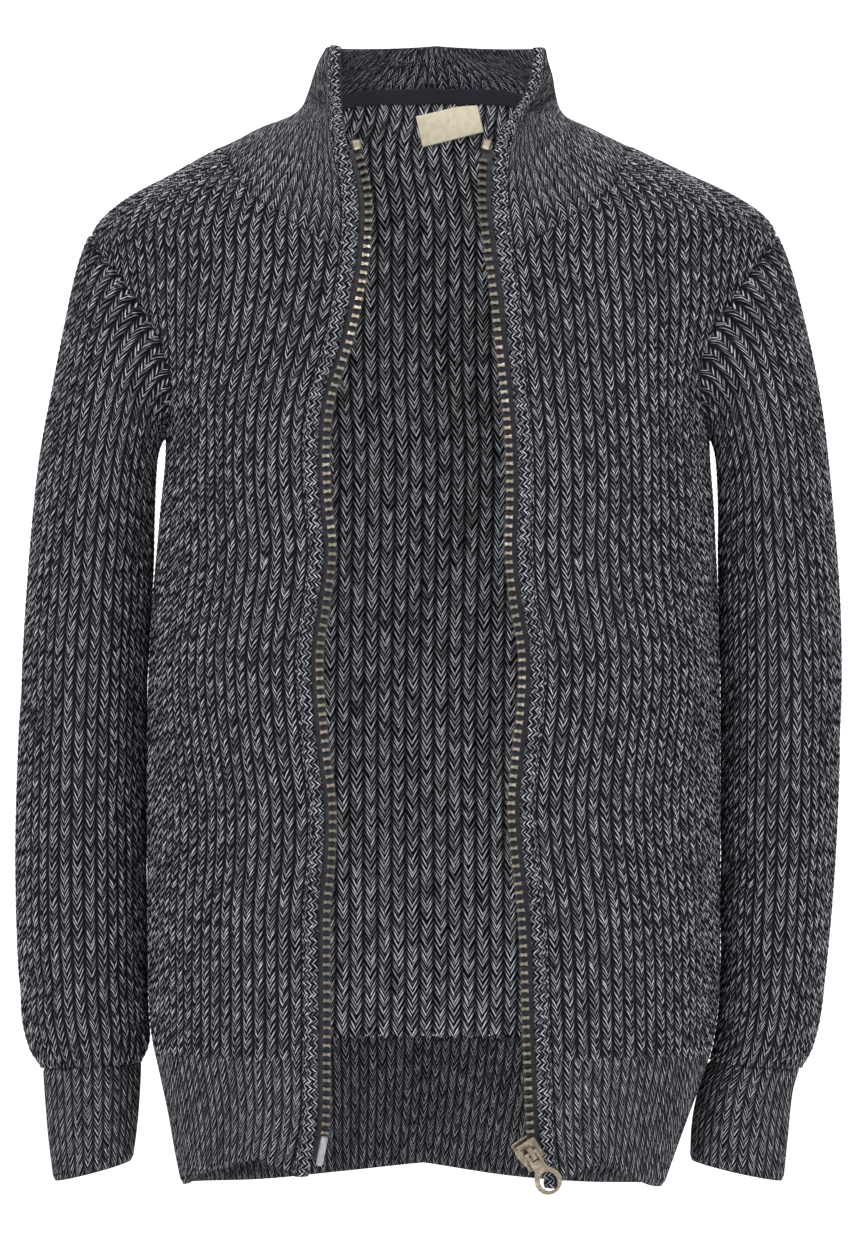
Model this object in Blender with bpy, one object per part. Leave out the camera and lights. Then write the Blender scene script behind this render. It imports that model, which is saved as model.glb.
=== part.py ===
"""Child's zip-through funnel-neck cardigan in a chunky rib knit, worn form, front open.

The body, the collar and the front bands are regions of one smooth skin. A point of that skin is
given by how far round the body it lies and by its height. Round 0 is the centre front, 0.5 the
+X side, 1 the centre back, 1.5 the -X side and 2 the centre front again. Every knitted piece is
a wall that is built on its own region, with ribs raised in the outer points over a plain inside.

Units are metres in the file. Tables are in millimetres and are read through MM.
"""
import math

import bmesh
import bpy
import numpy as np
from mathutils import Matrix, Vector

MM = 0.001

# Knit walls and seams
WALL_INSIDE = 1.1 * MM
WALL_GROOVE = 0.7 * MM
RIB_HEIGHT = 0.8 * MM
SEAM_GAP = 0.3 * MM
FOLDED_SEAM_REACH = 0.4 * MM
SEAM_SQUEEZE = 0.56
BODY_RIB_PITCH = 7.0 * MM
HEM_RIB_PITCH = 5.0 * MM
COLLAR_RIB_PITCH = 5.0 * MM
CROWDED_PITCH = 4.6 * MM
POINTS_PER_RIB = 2
INNER_STEP = 2
FOLD_CLEARANCE = 0.8

# Rows and columns of points
SEAM_POINTS = 60
EDGE_POINTS = 121
RING_POINTS = 361
RIDGE_POINTS = 12
LINE_STEPS = 12
BACK_LOW_ROWS = 4
BACK_HIGH_ROWS = 8
FRONT_LOW_ROWS = 11
FRONT_HIGH_ROWS = 8
HEM_ROWS = 3
COLLAR_ROWS = 6

# Heights of the construction lines
ARMPIT_Z = -118.0 * MM
SHOULDER_POINT_Z = -38.0 * MM
HEM_SEAM_Z = -364.0 * MM
FRONT_NECK_Z = -48.0 * MM
SIDE_NECK_Z = -2.0 * MM
COLLAR_FRONT_TOP_Z = 36.6 * MM
COLLAR_BACK_RISE = 5.4 * MM
COLLAR_FOOT_LIFT = 0.03
COLLAR_RISE_FROM = 0.35
COLLAR_LENGTH_SHARE = 1.5
GIRTH_SHARE = 1.06
HEM_EDGE_Z = -414.0 * MM
HEM_MIDDLE_Z = -389.5 * MM
FULL_WIDTH_Z = -230.0 * MM
BAND_PLACE = 0.15
BAND_POINTS = 5
BAND_ROUNDNESS = 0.7
TAPE_POINTS = 25
TAPE_CLEARANCE = 0.1 * MM
ARMHOLE_FRONT_REACH = 0.135
ARMHOLE_BACK_REACH = 0.105
SIDE_RIGHT = 0.5
SIDE_LEFT = 1.5
SLEEVE_GIRTH = 196.0 * MM
CUFF_GIRTH = 124.0 * MM

# Front bands and zip
BAND_WIDTH = 6.5 * MM
BAND_FROM_TEETH = 3.7 * MM
BAND_BULGE = 2.0 * MM
TEETH_HALF_WIDTH = 1.8 * MM
TEETH_BACK = -1.1 * MM
TEETH_FRONT = 1.3 * MM
TAPE_FRONT = -1.6 * MM
TAPE_BACK = -2.6 * MM
TAPE_INNER_EDGE = -1.0 * MM
TAPE_OUTER_EDGE = 8.0 * MM
TEETH_TOP_Z = -9.5 * MM
TEETH_FOOT_LEFT_Z = -393.0 * MM
TEETH_FOOT_RIGHT_Z = -402.6 * MM
TAPE_FOOT_Z = -403.0 * MM
TAPE_TOP_Z = -6.0 * MM

# Neck tape and label
NECK_TAPE_HALF_HEIGHT = 3.0 * MM
NECK_TAPE_THICKNESS = 0.9 * MM
NECK_TAPE_FROM = 0.66
LABEL_THICKNESS = 1.0 * MM
LABEL_WIDTH = 25.5 * MM
LABEL_HEIGHT = 12.5 * MM
LABEL_CENTRE_X = 4.6 * MM
LABEL_TOP_Z = 16.2 * MM
LABEL_TILT = math.radians(13.0)
LABEL_SAG = 1.2 * MM
LABEL_TOP_ROOM = 1.0 * MM
LABEL_COLUMNS = 9
LABEL_ROWS = 5

# Slider, bridge and pull tab, in the slider's own frame: across, down the zip, and out of the cloth
SLIDER_Z = -399.0 * MM
SLIDER_TILT = math.radians(24.0)
SLIDER_SHIFT = 1.5 * MM
SLIDER_WIDTH = 9.2 * MM
SLIDER_LENGTH = 9.0 * MM
PLATE_THICKNESS = 1.1 * MM
FRONT_PLATE_LEVEL = 1.7 * MM
BACK_PLATE_LEVEL = -2.9 * MM
POST_SIZE = 2.0 * MM
POST_LENGTH = 3.2 * MM
SMALL_BEVEL = 0.4 * MM
CROWN_INSET = 0.2 * MM
CROWN_OVERLAP = 1.9
STOP_SIZE = (3.6 * MM, 5.0 * MM, 2.8 * MM)
STOP_LEVEL = 0.5 * MM
STOP_BEVEL = 0.6 * MM
STOP_ABOVE_TEETH = 3.2 * MM
PIN_SIZE = (2.6 * MM, 12.0 * MM, 2.2 * MM)
PIN_LEVEL = 0.1 * MM
PIN_BEVEL = 0.5 * MM
PIN_BELOW_TEETH = 6.4 * MM
FRAME_PROBE = 3.0
RETAINER_WIDTH = 4.6 * MM
RETAINER_LENGTH = 3.0 * MM
RETAINER_THICKNESS = 2.0 * MM
RETAINER_SHIFT = -1.6 * MM
RETAINER_LEVEL = 0.2 * MM
BRIDGE_OPENING = 3.2 * MM
BRIDGE_RISE = 2.0 * MM
BRIDGE_BAR = 1.0 * MM
BRIDGE_WIDTH = 2.0 * MM
PULL_PIN_RADIUS = 0.6 * MM
PULL_THICKNESS = 1.2 * MM
PULL_LENGTH = 19.4 * MM
PULL_NECK_WIDTH = 5.4 * MM
PULL_RING_WIDTH = 10.8 * MM
PULL_WINDOW_WIDTH = 3.0 * MM
PULL_WINDOW_REACH = 3.9 * MM
PULL_HOLE_WIDTH = 6.8 * MM
PULL_HOLE_LENGTH = 8.4 * MM
PULL_LEAN = math.radians(4.0)

BODY_COLUMNS = ("height", "half_width", "centre_x", "half_depth", "centre_y", "squareness")
BODY_SECTIONS = (
    (48.0, 40.5, 0.5, 42.0, 8.0, 2.0),
    (37.0, 43.0, 0.3, 44.5, 8.0, 2.0),
    (32.0, 44.8, -0.6, 46.5, 8.0, 2.0),
    (26.0, 46.8, -0.8, 48.5, 8.0, 2.0),
    (18.0, 48.8, -1.4, 51.0, 8.0, 2.0),
    (12.0, 51.2, -2.0, 53.0, 7.5, 2.0),
    (8.0, 55.8, -3.0, 55.0, 7.0, 2.0),
    (4.0, 65.5, -4.0, 57.5, 6.5, 2.05),
    (0.0, 73.2, -3.8, 60.0, 6.0, 2.1),
    (-8.0, 89.2, -3.2, 64.5, 5.0, 2.15),
    (-16.0, 104.6, -1.8, 68.0, 4.5, 2.2),
    (-24.0, 120.6, -0.9, 71.0, 4.0, 2.2),
    (-32.0, 131.4, -0.2, 73.5, 3.5, 2.2),
    (-40.0, 136.0, -0.5, 75.5, 3.0, 2.2),
    (-50.0, 134.0, -0.5, 77.5, 3.0, 2.2),
    (-65.0, 127.0, -0.5, 79.5, 3.0, 2.25),
    (-80.0, 118.5, -0.5, 81.5, 3.0, 2.3),
    (-100.0, 110.5, 0.0, 83.0, 2.5, 2.3),
    (-118.0, 107.5, 1.0, 84.0, 2.0, 2.3),
    (-150.0, 109.5, 0.8, 85.0, 2.0, 2.3),
    (-190.0, 112.0, 0.0, 86.0, 2.0, 2.3),
    (-230.0, 113.0, -0.5, 86.5, 2.0, 2.3),
    (-300.0, 113.0, -0.5, 86.5, 2.0, 2.3),
    (-340.0, 112.6, -0.5, 85.5, 2.0, 2.3),
    (-358.0, 111.0, -0.8, 84.0, 2.0, 2.3),
    (-372.0, 107.6, -1.2, 81.5, 2.0, 2.3),
    (-390.0, 102.4, -2.6, 78.5, 2.0, 2.3),
    (-405.0, 98.4, -4.0, 76.5, 2.0, 2.3),
    (-424.0, 93.0, -5.4, 74.5, 2.0, 2.3),
)

OPENING_COLUMNS = ("height", "left_x", "right_x", "swell")
OPENING_LINE = (
    (48.0, -35.0, 37.5, 0.0),
    (30.0, -35.5, 37.0, 0.0),
    (18.0, -34.6, 33.5, 0.0),
    (8.0, -33.6, 27.5, 0.0),
    (-5.0, -31.0, 20.5, 0.0),
    (-25.0, -26.4, 18.3, 0.0),
    (-45.0, -26.5, 20.0, 0.5),
    (-65.0, -29.2, 22.7, 1.5),
    (-85.0, -33.7, 24.7, 2.0),
    (-105.0, -40.2, 26.9, 1.0),
    (-125.0, -42.3, 28.5, 0.0),
    (-145.0, -41.6, 28.9, 1.5),
    (-165.0, -39.8, 28.3, 2.5),
    (-185.0, -42.0, 30.2, 1.0),
    (-205.0, -44.8, 33.5, -0.5),
    (-225.0, -44.1, 33.1, 0.5),
    (-245.0, -42.1, 31.0, 2.0),
    (-265.0, -39.8, 29.4, 3.0),
    (-285.0, -40.2, 30.9, 2.0),
    (-305.0, -42.0, 33.2, 0.5),
    (-325.0, -42.1, 34.4, 0.0),
    (-345.0, -42.0, 35.0, 0.5),
    (-365.0, -42.2, 35.8, 0.0),
    (-391.0, -42.8, 37.0, 0.0),
    (-406.0, -45.5, 38.6, 0.0),
    (-424.0, -48.5, 40.0, 0.0),
)

# Neck seam, collar top and hem, by how far round from the centre front they lie
NECK_COLUMNS = ("round", "seam_height")
NECK_LINE = (
    (0.00, -53.0),
    (0.08, -49.0),
    (0.12, -40.0),
    (0.18, -28.5),
    (0.33, -9.0),
    (0.50, -2.0),
    (0.60, 12.0),
    (0.75, 20.0),
    (1.00, 22.0),
)
HEM_COLUMNS = ("round", "left_height", "right_height")
HEM_LINE = (
    (0.00, -409.5, -414.0),
    (0.15, -409.5, -414.0),
    (0.20, -407.0, -411.5),
    (0.25, -404.0, -405.8),
    (0.30, -407.5, -409.5),
    (0.37, -411.5, -415.0),
    (0.43, -416.0, -417.0),
    (0.50, -417.0, -417.5),
    (0.60, -418.5, -419.0),
    (0.75, -420.0, -421.0),
    (0.87, -418.0, -419.5),
    (1.00, -414.5, -414.5),
)

SLEEVE_COLUMNS = (
    "outer_z", "inner_z", "outer_left", "inner_left", "outer_right", "inner_right", "centre_y", "half_depth",
    "shaped",
)
SLEEVE_RINGS = (
    (-48.0, -122.0, 144.0, 117.2, 142.0, 118.2, 4.0, 47.0, 0.30),
    (-66.0, -132.0, 147.0, 115.4, 146.5, 116.4, 6.5, 43.5, 0.68),
    (-96.0, -148.0, 151.5, 113.8, 152.0, 115.0, 9.0, 39.5, 1.00),
    (-136.0, -172.0, 158.6, 114.4, 157.4, 115.0, 12.0, 37.0, 1.00),
    (-200.0, -220.0, 163.9, 116.8, 161.9, 116.1, 14.0, 36.0, 1.00),
    (-280.0, -286.0, 167.2, 117.1, 160.0, 116.2, 15.0, 34.7, 1.00),
    (-340.0, -340.0, 165.6, 116.8, 155.0, 115.8, 15.0, 33.5, 1.00),
    (-361.0, -360.0, 162.6, 116.0, 151.2, 113.8, 15.0, 30.5, 1.00),
    (-371.0, -369.0, 157.2, 119.2, 146.4, 111.6, 15.0, 25.5, 1.00),
)
CUFF_COLUMNS = SLEEVE_COLUMNS[:-1]
CUFF_RINGS = (
    (-371.4, -369.4, 156.0, 119.6, 145.0, 111.6, 15.0, 23.8),
    (-382.0, -378.5, 155.4, 119.9, 142.2, 107.9, 15.0, 22.5),
    (-399.0, -393.5, 154.0, 121.0, 140.4, 104.8, 15.0, 21.8),
    (-417.0, -409.0, 151.8, 123.0, 138.6, 104.0, 15.0, 20.4),
)

FINISHES = {
    "marled_knit": ((0.052, 0.055, 0.064), 0.95, 0.0),
    "marled_rib": ((0.060, 0.064, 0.074), 0.95, 0.0),
    "zip_tape": ((0.010, 0.010, 0.016), 0.9, 0.0),
    "navy_tape": ((0.008, 0.009, 0.020), 0.9, 0.0),
    "label_cloth": ((0.62, 0.56, 0.42), 0.85, 0.0),
    "zip_teeth": ((0.36, 0.31, 0.25), 0.42, 1.0),
    "antique_brass": ((0.20, 0.17, 0.13), 0.38, 1.0),
    "grey_pin": ((0.42, 0.43, 0.45), 0.45, 0.0),
}


class Track:
    """Smooth curve through one column of a table, read at any station."""

    def __init__(self, table, columns, station, value):
        """Reads the named columns and works out a slope at each station."""
        rows = sorted(table, key=lambda row: row[columns.index(station)])
        self.at = np.array([row[columns.index(station)] for row in rows], dtype=float)
        self.value = np.array([row[columns.index(value)] for row in rows], dtype=float)
        steps = np.diff(self.value) / np.diff(self.at)
        self.slope = np.concatenate(([steps[0]], (steps[1:] + steps[:-1]) / 2.0, [steps[-1]]))

    def __call__(self, station):
        """The value at one station or an array of stations."""
        station = np.clip(station, self.at[0], self.at[-1])
        i = np.clip(np.searchsorted(self.at, station) - 1, 0, len(self.at) - 2)
        span = self.at[i + 1] - self.at[i]
        t = (station - self.at[i]) / span
        keep = (1 + 2 * t) * (1 - t) ** 2 * self.value[i] + t * t * (3 - 2 * t) * self.value[i + 1]
        lean = t * (1 - t) ** 2 * self.slope[i] - t * t * (1 - t) * self.slope[i + 1]
        return keep + span * lean


class Skin:
    """The smooth mid surface of body and collar, by how far round and how high."""

    REFERENCE_WIDTH = 113.0
    REFERENCE_DEPTH = 86.5
    REFERENCE_SQUARENESS = 2.3
    SAMPLES = 2001
    PROBE_ROUND = 0.002
    PROBE_HEIGHT = 0.4

    def __init__(self):
        """Reads the section table and sets equal steps round the reference section."""
        self.track = {name: Track(BODY_SECTIONS, BODY_COLUMNS, "height", name) for name in BODY_COLUMNS[1:]}
        self.swell = Track(OPENING_LINE, OPENING_COLUMNS, "height", "swell")
        angle = np.linspace(0.0, math.pi / 2, self.SAMPLES)
        power = 2.0 / self.REFERENCE_SQUARENESS
        x = self.REFERENCE_WIDTH * np.sin(angle) ** power
        y = self.REFERENCE_DEPTH * np.cos(angle) ** power
        length = np.concatenate(([0.0], np.cumsum(np.hypot(np.diff(x), np.diff(y)))))
        self.quarter_length = length / length[-1]
        self.quarter_angle = angle

    def angle_of(self, around):
        """The section angle at a place round the body."""
        around = np.mod(np.asarray(around, dtype=float), 2.0)
        quarter = np.floor(around / 0.5)
        part = around / 0.5 - quarter
        forward = np.interp(part, self.quarter_length, self.quarter_angle)
        backward = math.pi / 2 - np.interp(1.0 - part, self.quarter_length, self.quarter_angle)
        turned = np.where(np.mod(quarter, 2) == 0, forward, backward)
        return turned + quarter * math.pi / 2

    def round_of_x(self, x, height):
        """The place round the front, 0 to 0.5, where the skin lies x to the side of the section's centre."""
        share = np.abs(x - self.track["centre_x"](height)) / self.track["half_width"](height)
        angle = np.arcsin(np.clip(share, 0.0, 1.0) ** (self.track["squareness"](height) / 2.0))
        return 0.5 * np.interp(angle, self.quarter_angle, self.quarter_length)

    def half_girth(self, height):
        """Half the length round the section, which one unit round stands for."""
        across = self.track["half_width"](height)
        deep = self.track["half_depth"](height)
        return GIRTH_SHARE * math.pi * np.sqrt((across ** 2 + deep ** 2) / 2.0)

    def point(self, around, height):
        """Points of the skin, in millimetres."""
        angle = self.angle_of(around)
        read = {name: track(height) for name, track in self.track.items()}
        power = 2.0 / read["squareness"]
        sine, cosine = np.sin(angle), np.cos(angle)
        x = read["centre_x"] + read["half_width"] * np.sign(sine) * np.abs(sine) ** power
        forward = np.sign(cosine) * np.abs(cosine) ** power
        near_opening = np.clip(forward, 0.0, 1.0) ** 3
        y = read["centre_y"] - read["half_depth"] * forward - self.swell(height) * near_opening
        return np.stack(np.broadcast_arrays(x, y, height), axis=-1)

    def normal(self, around, height):
        """Outward unit normals of the skin."""
        along = self.point(around + self.PROBE_ROUND, height) - self.point(around - self.PROBE_ROUND, height)
        up = self.point(around, height + self.PROBE_HEIGHT) - self.point(around, height - self.PROBE_HEIGHT)
        normal = np.cross(along, up)
        return normal / np.linalg.norm(normal, axis=-1, keepdims=True)


SKIN = Skin()
NECK_SEAM = Track(NECK_LINE, NECK_COLUMNS, "round", "seam_height")
COLLAR_FRONT_TOP = COLLAR_FRONT_TOP_Z / MM
OPENING = {
    -1: Track(OPENING_LINE, OPENING_COLUMNS, "height", "left_x"),
    1: Track(OPENING_LINE, OPENING_COLUMNS, "height", "right_x"),
}
HEM = {
    -1: Track(HEM_LINE, HEM_COLUMNS, "round", "left_height"),
    1: Track(HEM_LINE, HEM_COLUMNS, "round", "right_height"),
}


def from_front(around):
    """How far a place lies from the centre front, 0 to 1, on either side."""
    around = np.mod(around, 2.0)
    return np.where(around <= 1.0, around, 2.0 - around)


def hem_height(around):
    """The height of the hem's free edge at a place round the body."""
    share = from_front(around)
    return np.where(np.mod(around, 2.0) <= 1.0, HEM[1](share), HEM[-1](share))


def opening_round(side, height, reach=0.0):
    """The place round of the line that lies a reach (mm) outside the teeth line, on one side."""
    place = SKIN.round_of_x(OPENING[side](height), height) + reach / SKIN.half_girth(height)
    return place if side > 0 else 2.0 - place


def coons(bottom, top, start, end):
    """A grid of (round, height) pairs that meets four border curves, bottom and top as rows."""
    rows, columns = len(start), len(bottom)
    v = np.linspace(0.0, 1.0, rows)[:, None, None]
    u = np.linspace(0.0, 1.0, columns)[None, :, None]
    across = (1 - v) * bottom[None] + v * top[None]
    along = (1 - u) * start[:, None] + u * end[:, None]
    corners = (
        (1 - u) * (1 - v) * bottom[0] + u * (1 - v) * bottom[-1] + (1 - u) * v * top[0] + u * v * top[-1]
    )
    return across + along - corners


def pairs(around, height):
    """Two arrays, or an array and a number, as rows of (round, height)."""
    return np.stack(np.broadcast_arrays(np.asarray(around, float), np.asarray(height, float)), axis=-1)


def spread(curve, count):
    """A curve's points again, at equal steps along the skin."""
    places = SKIN.point(curve[:, 0], curve[:, 1])
    length = np.concatenate(([0.0], np.cumsum(np.linalg.norm(np.diff(places, axis=0), axis=1))))
    wanted = np.linspace(0.0, length[-1], count)
    return np.stack([np.interp(wanted, length, curve[:, k]) for k in range(2)], axis=-1)


def drawn_in(edge, inner, normal, reach):
    """A border moved into its piece by a reach, square to the border and along the surface."""
    run = np.gradient(edge, axis=0)
    square = np.cross(normal, run)
    square *= np.sign(np.sum(square * (inner - edge), axis=-1, keepdims=True))
    return edge + square * (reach / np.linalg.norm(square, axis=-1, keepdims=True))


def inset(grid, normals, closed, reach=SEAM_GAP / MM / 2.0):
    """The grid with its free borders drawn in by half a seam gap."""
    grid = grid.copy()
    grid[0] = drawn_in(grid[0], grid[1], normals[0], reach)
    grid[-1] = drawn_in(grid[-1], grid[-2], normals[-1], reach)
    if not closed:
        grid[:, 0] = drawn_in(grid[:, 0], grid[:, 1], normals[:, 0], reach)
        grid[:, -1] = drawn_in(grid[:, -1], grid[:, -2], normals[:, -1], reach)
    return grid


def grid_normals(grid, closed):
    """Outward normals of a grid whose columns run round and whose rows climb."""
    if closed:
        along = np.roll(grid, -1, axis=1) - np.roll(grid, 1, axis=1)
    else:
        along = np.gradient(grid, axis=1)
    climb = np.gradient(grid, axis=0)
    normal = np.cross(along, climb)
    return normal / np.linalg.norm(normal, axis=-1, keepdims=True)


def add_object(name, mesh_builder, finish, collection):
    """A named mesh object from a filled bmesh, with its finish."""
    mesh = bpy.data.meshes.new(name)
    bmesh.ops.recalc_face_normals(mesh_builder, faces=mesh_builder.faces[:])
    mesh_builder.to_mesh(mesh)
    mesh_builder.free()
    made = bpy.data.objects.new(name, mesh)
    mesh.materials.append(finish)
    collection.objects.link(made)
    return made


def wall(name, middle, normals, outward, inward, closed, inner_step, finish, collection):
    """A closed wall on a grid: fine outer points, coarser plain inner points, rims between them."""
    rows, columns = middle.shape[:2]
    outer = (middle + normals * outward[..., None]) * MM
    inner = (middle - normals * inward) * MM
    built = bmesh.new()
    last = columns if closed else columns - 1
    picks = list(range(0, columns if closed else columns - 1, inner_step))
    if not closed:
        picks.append(columns - 1)
    outer_ids = [[built.verts.new(outer[j, i]) for i in range(columns)] for j in range(rows)]
    inner_ids = [{i: built.verts.new(inner[j, i]) for i in picks} for j in range(rows)]
    spans = list(zip(picks, picks[1:] + ([picks[0] + columns] if closed else [])))
    for j in range(rows - 1):
        for i in range(last):
            k = (i + 1) % columns
            built.faces.new((outer_ids[j][i], outer_ids[j][k], outer_ids[j + 1][k], outer_ids[j + 1][i]))
        for a, b in spans:
            b = b % columns
            built.faces.new((inner_ids[j][b], inner_ids[j][a], inner_ids[j + 1][a], inner_ids[j + 1][b]))
        if not closed:
            for i in (0, columns - 1):
                built.faces.new((outer_ids[j + 1][i], outer_ids[j][i], inner_ids[j][i], inner_ids[j + 1][i]))
    for j in (0, rows - 1):
        for a, b in spans:
            fan = [outer_ids[j][i % columns] for i in range(a, b + 1)]
            built.faces.new(fan + [inner_ids[j][b % columns], inner_ids[j][a % columns]])
    return add_object(name, built, finish, collection)


def ribbed(shape):
    """Outer heights of a ribbed wall: every second column stands up between low seam rows."""
    height = np.full(shape, WALL_GROOVE / MM)
    height[1:-1, 1::POINTS_PER_RIB] += RIB_HEIGHT / MM
    return height


def rib_columns(length, pitch, closed=False):
    """How many grid columns hold whole ribs along a length, and whole inner steps."""
    spans = max(INNER_STEP, INNER_STEP * round(length * POINTS_PER_RIB / (pitch / MM) / INNER_STEP))
    return spans if closed else spans + 1


def distance_to_line(points, line, fold):
    """Each point's distance to a border, in units of how deep the seam folds there."""
    steps = np.linspace(0.0, len(line) - 1.0, LINE_STEPS * (len(line) - 1) + 1)
    index = np.arange(len(line))
    dense = np.stack([np.interp(steps, index, line[:, k]) for k in range(3)], axis=-1)
    depth = np.interp(steps, index, fold)
    away = np.linalg.norm(points[:, :, None] - dense[None, None], axis=-1)
    return np.min(away / depth, axis=-1)


def skin_wall(name, plan, finish, collection, seams=()):
    """A ribbed wall on a (round, height) grid of the skin, thinner at its armhole borders."""
    around, height = plan[..., 0], plan[..., 1]
    normals = SKIN.normal(around, height)
    middle = inset(SKIN.point(around, height), normals, closed=False)
    spacing = np.linalg.norm(np.gradient(middle, axis=1), axis=-1)
    room = np.clip(spacing / (CROWDED_PITCH / MM / POINTS_PER_RIB), 0.0, 1.0)
    outward = WALL_GROOVE / MM + (ribbed(plan.shape[:2]) - WALL_GROOVE / MM) * room
    for column, rows, turn in seams:
        reach = distance_to_line(middle, middle[rows, column], fold_of(*turn))
        outward = np.minimum(outward, np.maximum(FOLD_CLEARANCE * reach, SEAM_SQUEEZE * WALL_GROOVE / MM))
    for column, rows, turn in seams:
        normals[rows, column] *= SEAM_SQUEEZE
        outward[rows, column] = WALL_GROOVE / MM
    return wall(name, middle, normals, outward, WALL_INSIDE / MM, False, INNER_STEP, finish, collection)


def armhole(side, angles):
    """(round, height) pairs of an armhole, from the shoulder point at 0 through the front to the armpit at pi."""
    middle = (SHOULDER_POINT_Z + ARMPIT_Z) / MM / 2.0
    half = (SHOULDER_POINT_Z - ARMPIT_Z) / MM / 2.0
    reach = np.where(np.sin(angles) >= 0.0, ARMHOLE_FRONT_REACH, ARMHOLE_BACK_REACH)
    place = SIDE_RIGHT - reach * np.sin(angles)
    if side < 0:
        place = 2.0 - place
    return pairs(place, middle + half * np.cos(angles))


def build_back(finish, collection):
    """The back panel: a straight part to the armpits and a shaped part to shoulders and neck."""
    columns = rib_columns(SKIN.half_girth(FULL_WIDTH_Z / MM), BODY_RIB_PITCH)
    side = np.linspace(SIDE_RIGHT, SIDE_LEFT, columns)
    armpit = ARMPIT_Z / MM
    low = np.stack([pairs(side, z) for z in np.linspace(HEM_SEAM_Z / MM, armpit, BACK_LOW_ROWS)])
    ridge = np.linspace(SHOULDER_POINT_Z / MM, SIDE_NECK_Z / MM, RIDGE_POINTS)
    neck = np.linspace(SIDE_RIGHT, SIDE_LEFT, SEAM_POINTS)
    top = np.concatenate((
        pairs(SIDE_RIGHT, ridge),
        pairs(neck, NECK_SEAM(from_front(neck)))[1:-1],
        pairs(SIDE_LEFT, ridge[::-1]),
    ))
    top = spread(top, columns)
    turn = ARMHOLE_BACK_TURN
    high = coons(low[-1], top, armhole(1, turn), armhole(-1, turn))
    plan = np.concatenate((low[:-1], high))
    rows = slice(BACK_LOW_ROWS - 1, None)
    seams = ((0, rows, (1, turn)), (-1, rows, (-1, turn)))
    return skin_wall("back_panel", plan, finish, collection, seams)


def build_front(side, finish, collection):
    """One front panel, from the band to the side seam, armhole, shoulder and neck."""
    reach = (BAND_FROM_TEETH + BAND_WIDTH) / MM
    edge = SIDE_RIGHT if side > 0 else SIDE_LEFT
    widest = FULL_WIDTH_Z / MM
    width = abs(edge - opening_round(side, widest, reach)) * SKIN.half_girth(widest)
    columns = rib_columns(width, BODY_RIB_PITCH)
    armpit, neck_foot = ARMPIT_Z / MM, FRONT_NECK_Z / MM
    low = []
    for z in np.linspace(HEM_SEAM_Z / MM, armpit, FRONT_LOW_ROWS):
        low.append(pairs(np.linspace(opening_round(side, z, reach), edge, columns), z))
    low = np.stack(low)
    ridge = np.linspace(SIDE_NECK_Z / MM, SHOULDER_POINT_Z / MM, RIDGE_POINTS)
    top = spread(np.concatenate((front_neck_seam(side)[:-1], pairs(edge, ridge))), columns)
    climb = np.linspace(armpit, neck_foot, FRONT_HIGH_ROWS)
    start = pairs(opening_round(side, climb, reach), climb)
    end = armhole(side, ARMHOLE_FRONT_TURN)
    plan = np.concatenate((low[:-1], coons(low[-1], top, start, end)))
    rows = slice(FRONT_LOW_ROWS - 1, None)
    turn = (side, ARMHOLE_FRONT_TURN)
    if side < 0:
        return skin_wall("front_left", plan[:, ::-1], finish, collection, ((0, rows, turn),))
    return skin_wall("front_right", plan, finish, collection, ((-1, rows, turn),))


def build_hem(name, start, end, finish, collection):
    """One stretch of the hem rib, between two places round the body or two opening lines."""
    middle_z = HEM_MIDDLE_Z / MM
    length = abs(end(middle_z) - start(middle_z)) * SKIN.half_girth(middle_z)
    columns = rib_columns(length, HEM_RIB_PITCH)
    share = np.linspace(0.0, 1.0, columns)
    plan = []
    for climb in np.linspace(0.0, 1.0, HEM_ROWS):
        z_guess = ((1 - climb) * HEM_EDGE_Z + climb * HEM_SEAM_Z) / MM
        around = start(z_guess) + (end(z_guess) - start(z_guess)) * share
        height = (1 - climb) * hem_height(around) + climb * HEM_SEAM_Z / MM
        plan.append(pairs(around, height))
    plan = np.stack(plan)
    return skin_wall(name, plan, finish, collection)


def front_neck_seam(side):
    """(round, height) pairs of the front neck seam, from the band to the shoulder."""
    neck_foot = FRONT_NECK_Z / MM
    reach = (BAND_FROM_TEETH + BAND_WIDTH) / MM
    shoulder = SIDE_RIGHT if side > 0 else SIDE_LEFT
    around = np.linspace(opening_round(side, neck_foot, reach), shoulder, SEAM_POINTS)
    seam = NECK_SEAM(from_front(around))
    return pairs(around, seam + (neck_foot - seam[0]) * np.linspace(1.0, 0.0, len(around)) ** 2)


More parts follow.
